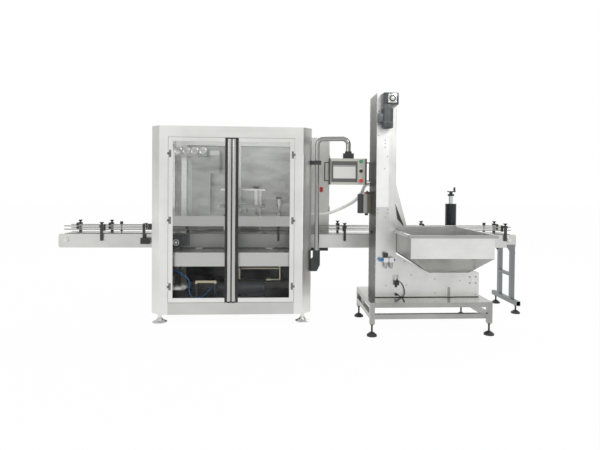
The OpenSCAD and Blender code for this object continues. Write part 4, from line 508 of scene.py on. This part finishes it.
def smooth_route(points, steps):
    """Points on a smooth curve; the first and last points only set the direction."""
    points = [Vector(p) + MIDDLE for p in points]
    made = []
    for a, b, c, d in zip(points, points[1:], points[2:], points[3:]):
        for j in range(steps):
            s = j / steps
            made.append(b + s / 2 * (c - a) + s * s * (a - 2.5 * b + 2 * c - d / 2)
                + s ** 3 * (1.5 * (b - c) + (d - a) / 2))
    made.append(points[-2])
    return made


hose_route = smooth_route([
    (735, 260, 1100), (795.4, 260, 1100), (855, 260, 1100), (915, 253, 1101), (975, 246, 1108),
    (1033, 240, 1121), (1090, 233, 1142), (1145, 226, 1166), (1197, 215, 1194), (1247, 195, 1224),
    (1290, 168, 1258), (1324, 138, 1300), (1349, 107, 1348), (1367, 84, 1400), (1391, 70, 1428),
    (1422.4, 70, 1428), (1455, 70, 1428)], 24)
lead_route = smooth_route([
    (1630, -268, 474), (1650.4, -268, 474), (1670, -268, 468), (1692, -268, 442), (1707, -268, 402),
    (1711, -268, 360), (1700, -267, 333), (1678, -265, 325), (1658, -263, 335), (1648, -262, 349),
    (1640.4, -262, 350), (1630, -262, 350)], 8)
vacuum_route = smooth_route([
    (-640, 195, 500), (-612.8, 195, 500), (-585, 195, 498), (-515, 206, 465), (-455, 234, 380),
    (-465, 247, 285), (-425, 275, 205), (-335, 310, 205), (-255, 330, 280), (-225, 330, 300),
    (-205.8, 330, 300), (-185, 330, 300)], 8)
RIB, GROOVE, RIB_STEPS = 17.0, 14.0, 4


def ribbed(work):
    radii = [RIB if i % RIB_STEPS < RIB_STEPS / 2 else GROOVE for i in range(len(hose_route))]
    add_tube(work, hose_route, radii, 20)


def plain_cord(route, radius, sides):
    return lambda work: add_tube(work, route, [radius] * len(route), sides)


for name, build, finish, slot, replaced, angle, route, across, stiff in (
        ("ribbed_hose", ribbed, "hose", "grey_hose", "flexible_leads", 60, hose_route, 0.034, "stiff"),
        ("sensor_lead", plain_cord(lead_route, 4.0, 14), "black", "black_plastic", "flexible_leads", 35,
            lead_route, 0.008, "medium"),
        ("blue_vacuum_hose", plain_cord(vacuum_route, 6.0, 16), "blue", "blue_hose", "vacuum_hose", 35,
            vacuum_route, 0.012, "medium")):
    made = add_piece(name, build, finish, replaces=replaced, angle=angle)
    length = sum((b - a).length for a, b in zip(route, route[1:]))
    route[0] * MM
    [p * MM for p in route]


# Elevator's gearmotor: gearbox, flange, finned motor and terminal box
HEAD = (897, 0, 2250)
MOTOR = (858, -490, 0)
FINS = 30


def gearbox(work):
    add_block(work, (811.4, 962.6), (-519.6, -428), (2191, 2308.6), 9)
    add_block(work, (826, 948), (-522, -430), (2200, 2300), 4)


def flange_plate(work):
    add_block(work, (855, 939), (-529, -520), (2208, 2292), 3)
    for i in (-1, 1):
        for k in (-1, 1):
            bolt = (HEAD[0] + i * 33, 0, HEAD[2] + k * 33)
            add_turned(work, "y", bolt, [(-533, 5), (-532.5, 7), (-527, 7.2)], 6)


def flange_screws(work):
    for i in range(8):
        turn = math.radians(45 * i + 22.5)
        screw = (HEAD[0] + 38.5 * math.cos(turn), 0, HEAD[2] + 38.5 * math.sin(turn))
        add_turned(work, "y", screw, [(-532.6, 2.5), (-532.6, 4.2), (-528, 4.4)], 12)


def seal_ring(work):
    add_turned(work, "y", HEAD, [(-529, 31), (-535, 31), (-536.9, 29.5), (-536.9, 22), (-529, 22)])


def hub_cap(work):
    add_turned(work, "y", HEAD, [(-520, 20), (-539, 20), (-540.8, 18.5), (-540.8, 12.2), (-538, 12)])
    add_turned(work, "y", HEAD, [(-536, 11.8), (-540.4, 11.8), (-541, 10.8)], 24)


def motor_body(work):
    add_turned(work, "z", MOTOR, [(2019, 52), (2155, 52), (2156, 47.6), (2190.8, 47.6)])
    for i in range(FINS):
        turn = 2 * math.pi * i / FINS
        c, s = math.cos(turn), math.sin(turn)
        outline = []
        for u, v in ((50, -1.3), (55.8, -0.8), (55.8, 0.8), (50, 1.3)):
            outline.append((MOTOR[0] + c * u - s * v, MOTOR[1] + s * u + c * v))
        add_rings(work, [[(*p, z) for p in outline] for z in (2024, 2150)])


def motor_shields(work):
    add_turned(work, "z", MOTOR, [(2150, 50), (2150, 55.8), (2160, 55.8), (2164, 51), (2164, 47)])
    add_turned(work, "z", MOTOR, [(2016, 50), (2016, 57.4), (2024, 57.4), (2027, 55), (2027, 50)])


def fan_cover(work):
    add_turned(work, "z", MOTOR, [(1967.4, 30), (1968, 50), (1974, 56.5), (1984, 57.8), (2015, 57.8),
        (2015, 50)])
    for r in (16, 26, 36, 45):
        add_turned(work, "z", MOTOR, [(1967.1, r - 2), (1967.1, r + 2), (1969, r + 2.5)], 32)


def terminal_box(work):
    add_block(work, (758.4, 822), (-516, -464), (2025, 2103), 5)
    add_block(work, (758.2, 762), (-519, -461), (2022, 2106), 1.5)
    add_turned(work, "z", (784, MOTOR[1], 0), [(2000, 8.5), (2001, 10), (2010, 10), (2010, 12.5),
        (2018, 12.5), (2026, 11)], 6)


for name, build, finish, slot in (
        ("elevator_gearbox", gearbox, "dark_paint", "dark_paint"),
        ("gearbox_flange", flange_plate, "polished", "polished_steel"),
        ("flange_screws", flange_screws, "polished", "polished_steel"),
        ("shaft_seal_ring", seal_ring, "black", "black_plastic"),
        ("shaft_hub_cap", hub_cap, "polished", "polished_steel"),
        ("elevator_motor", motor_body, "motor", "motor_grey"),
        ("motor_end_shields", motor_shields, "motor", "motor_grey"),
        ("motor_fan_cover", fan_cover, "dark_paint", "motor_grey"),
        ("motor_terminal_box", terminal_box, "motor", "motor_grey")):
    add_piece(name, build, finish, replaces="elevator_gearmotor")


# Elevator's small parts: cap screws where the photograph shows them, plug, bracket, and a black sheet in the
# chute's gap that paints the shade inside it
PLATE_SCREWS = (
    (854, 1858), (854, 1828), (855, 1789), (880, 1700), (854, 1581), (790, 1183), (790, 1144), (887, 1183),
    (887, 1144), (863, 1106), (1059, 671), (1129, 540), (1366, 499), (1080, 439), (878, 437), (1368, 363),
    (1618, 482), (1780, 345), (790, 2140), (880, 2140), (790, 1905), (880, 1980))
SIDE_EDGES = (-414, -104)
SIDE_PLUG = (0, -236, 940)
TAIL = (1749, 0, 488)
BRACKET_X, BRACKET_LOW, BRACKET_HIGH = 1507, 326, 419
CHUTE_GAP = ((964, 1236), (985, 1089), (1052, 1016))


def plate_screws(work):
    for x, z in PLATE_SCREWS:
        add_turned(work, "y", (x, 0, z), [(-428.2, 5.6), (-431.2, 5.6), (-432, 4.6), (-432, 2.6),
            (-430, 2.4)], 14)


def side_screws(work):
    for z in range(380, 2300, 80):
        for y in SIDE_EDGES:
            add_turned(work, "x", (0, y, z), [(772.9, 5.2), (770.2, 5.2), (769.4, 4.2)], 12)


def side_plug(work):
    add_turned(work, "x", SIDE_PLUG, [(772.8, 17), (766, 17), (764, 15), (764, 7), (768, 6)], 28)


def tail_screws(work):
    add_turned(work, "y", TAIL, [(-428.4, 30), (-431.4, 29), (-431.6, 15), (-429, 14)], 36)
    for i in range(4):
        turn = math.radians(45 + 90 * i)
        screw = (TAIL[0] + 43 * math.cos(turn), 0, TAIL[2] + 43 * math.sin(turn))
        add_turned(work, "y", screw, [(-428.4, 6.5), (-433.4, 6.5), (-434, 5), (-434, 2.6), (-431, 2.4)], 6)


def foot_bracket(work):
    add_block(work, (BRACKET_X - 14, BRACKET_X + 14), (-433.5, -428.3), (BRACKET_LOW, BRACKET_HIGH), 1.2)
    pitch = (BRACKET_HIGH - BRACKET_LOW - 28) / 3
    for k in range(4):
        screw = (BRACKET_X, 0, BRACKET_LOW + 14 + k * pitch)
        add_turned(work, "y", screw, [(-433.4, 4.4), (-436, 4.4), (-436.6, 3.4)], 6)


# Painted shade: a black sheet just behind the chute's opening, standing in for the dark inside it.
def chute_shade_sheet(work):
    add_rings(work, [[(x, y, z) for x, z in CHUTE_GAP] for y in (-424.6, -416.6)])


# Cabinet's and panel's small parts
DRIVE = (-1263, 0, 790)
DIALS = (-1350, -1254, -1158, -1062)
DIAL_Z = 1812
AIR_PORTS = (0, -463, 694)
KEY_X = 661
KEYS = (1659.5, 1562.5, 1463.5)
LABEL_TOPS = (1683, 1587, 1492)


def drive_cover(work):
    add_turned(work, "y", DRIVE, [(121.2, 33), (119.4, 32), (119.4, 26), (121, 25.5)])
    add_turned(work, "y", DRIVE, [(121, 15), (115, 14.5), (114, 13)], 32)


def drive_seal(work):
    add_turned(work, "y", DRIVE, [(121, 25.4), (120.2, 25), (120.2, 15)], 36)


def dial_rims(work):
    for x in DIALS:
        add_turned(work, "y", (x, 0, DIAL_Z), [(678, 40.6), (674.6, 40.6), (673.6, 38.5), (674.6, 36),
            (676.6, 35.6)], 44)


def dial_hands(work):
    for i, x in enumerate(DIALS):
        add_turned(work, "y", (x, 0, DIAL_Z), [(677, 4), (675, 4), (674.6, 3)], 16)
        turn = math.radians(220 - 55 * i)
        c, s = math.cos(turn), math.sin(turn)
        hand = [(-8 * c - 2 * s, -8 * s + 2 * c), (-8 * c + 2 * s, -8 * s - 2 * c), (26 * c, 26 * s)]
        add_rings(work, [[(x + u, y, DIAL_Z + v) for u, v in hand] for y in (675.4, 676.2)])
        for k in range(11):
            turn = math.radians(225 - 27 * k)
            u, v = x + 30 * math.cos(turn), DIAL_Z + 30 * math.sin(turn)
            add_block(work, (u - 1.2, u + 1.2), (676.0, 676.9), (v - 1.2, v + 1.2))


def air_fittings(work):
    add_turned(work, "x", AIR_PORTS, [(812, 9), (813, 12.5), (824, 12.5), (826, 10.5), (838, 10.5),
        (842, 12)], 20)
    add_turned(work, "x", AIR_PORTS, [(941.2, 12), (944, 12.5), (952, 12.5), (955.4, 10)], 20)


def key_labels(work):
    for z in LABEL_TOPS:
        add_block(work, (KEY_X - 14, KEY_X + 14), (-209.3, -208.5), (z - 8, z), 0.3)


def key_collars(work):
    for z in KEYS:
        add_turned(work, "y", (KEY_X, 0, z), [(-212.4, 19.2), (-214.2, 18.6), (-214.2, 15.2),
            (-212.6, 14.8)], 36)


def switch_plate(work):
    add_block(work, (311, 355), (543.6, 546.9), (1334, 1392), 2.5)


def switch_bar(work):
    add_block(work, (327.5, 338.5), (531.5, 534), (1344, 1382), 1.0)


# Black patches on the heat sink's slots: its dark metal, with the shade inside the slots painted in.
def heat_sink_slots(work):
    for x in (656, 671, 686):
        for z in range(1142, 1322, 20):
            add_block(work, (x - 4.4, x + 4.4), (-166.9, -166.1), (z, z + 11), 0.2)


def control_plugs(work):
    for y in (-150, -122):
        add_turned(work, "z", (741, y, 0), [(1328, 9), (1346, 9), (1350, 7), (1362, 6.5)], 18)


for name, build, finish, slot, body in (
        ("plate_screws", plate_screws, "dull", "polished_steel", "machine"),
        ("column_side_screws", side_screws, "polished", "polished_steel", "machine"),
        ("column_side_plug", side_plug, "black", "black_plastic", "machine"),
        ("tail_bearing_screws", tail_screws, "dark_paint", "polished_steel", "machine"),
        ("foot_bracket", foot_bracket, "dull", "polished_steel", "machine"),
        ("chute_shade_sheet", chute_shade_sheet, "black", "black_plastic", "machine"),
        ("drive_hub_cover", drive_cover, "white", "white_plastic", "machine"),
        ("drive_hub_seal", drive_seal, "black", "black_plastic", "machine"),
        ("dial_rims", dial_rims, "polished", "polished_steel", "machine"),
        ("dial_hands", dial_hands, "black", "black_plastic", "machine"),
        ("air_fittings", air_fittings, "blue", "blue_hose", "machine"),
        ("key_label_plates", key_labels, "white", "white_plastic", "panel"),
        ("key_collars", key_collars, "dark_paint", "black_plastic", "panel"),
        ("main_switch_plate", switch_plate, "red", "red_plastic", "box_door"),
        ("main_switch_bar", switch_bar, "dark_red", "red_plastic", "main_switch"),
        ("heat_sink_slots", heat_sink_slots, "black", "black_plastic", "machine"),
        ("control_plugs", control_plugs, "dark_red", "red_plastic", "machine")):
    add_piece(name, build, finish, body)


# Stage: a plain pale floor and soft studio light
WHITE = (1.0, 1.0, 1.0, 1.0)
FLOOR_GLOW = 0.975
SKY = ((0.0, 0.64), (0.46, 0.74), (0.50, 0.90), (0.60, 1.0), (0.72, 0.78), (1.0, 0.88))


def paper():
    finish = Finish("paper")
    rays = [finish.node("ShaderNodeLightPath", output=n) for n in
        ("Is Camera Ray", "Is Glossy Ray", "Is Transmission Ray")]
    seen = rays[0].most(rays[1]).most(rays[2])
    matt = finish.node("ShaderNodeBsdfDiffuse", {}, {"Color": (0.9, 0.9, 0.9, 1.0)})
    glow = finish.node("ShaderNodeEmission", {}, {"Color": WHITE, "Strength": 1.0})
    finish.close(finish.node("ShaderNodeMixShader", {}, {0: seen * FLOOR_GLOW, 1: matt, 2: glow}))
    return finish.material


floor_mesh = bpy.data.meshes.new("floor")
floor_mesh.from_pydata([(-30, -20, 0), (30, -20, 0), (30, 30, 0), (-30, 30, 0)], [], [(0, 1, 2, 3)])
floor_mesh.materials.append(paper())
floor = bpy.data.objects.new("floor", floor_mesh)
scene.collection.objects.link(floor)

scene.world = bpy.data.worlds.new("studio")
scene.world.use_nodes = True
studio = Nodes(scene.world.node_tree, "ShaderNodeOutputWorld")
rays = [studio.node("ShaderNodeLightPath", output=n) for n in ("Is Camera Ray", "Is Transmission Ray")]
across, _, height = studio.parts(studio.node("ShaderNodeTexCoord", output="Generated"))
greys = [(place, (grey, grey, grey * 0.99)) for place, grey in SKY]
sky = studio.node("ShaderNodeValToRGB", {"stops": greys}, {0: studio.ramp(height, -1.0, 1.0)})
strength = studio.ramp(across, -1.0, 1.0, 0.80, 1.02)
room = studio.node("ShaderNodeBackground", {}, {"Color": sky, "Strength": strength})
white = studio.node("ShaderNodeBackground", {}, {"Color": WHITE, "Strength": 1.0})
studio.close(studio.node("ShaderNodeMixShader", {}, {0: rays[0].most(rays[1]), 1: room, 2: white}))


def lamp(name, place, target, width, height, power):
    light = bpy.data.lights.new(name, "AREA")
    light.shape = "RECTANGLE"
    light.size = width
    light.size_y = height
    light.energy = power
    made = bpy.data.objects.new(name, light)
    scene.collection.objects.link(made)
    made.location = place
    made.rotation_mode = "QUATERNION"
    made.rotation_quaternion = (Vector(target) - Vector(place)).to_track_quat("-Z", "Y")


lamp("key", (4.0, -6.0, 5.6), (0, 0, 1.0), 3.0, 2.5, 190)
lamp("fill", (-5.5, -6.5, 3.6), (0, 0, 1.0), 3.0, 3.0, 70)
lamp("rear", (0.5, 6.0, 4.6), (0, 0, 1.2), 5.0, 2.0, 140)
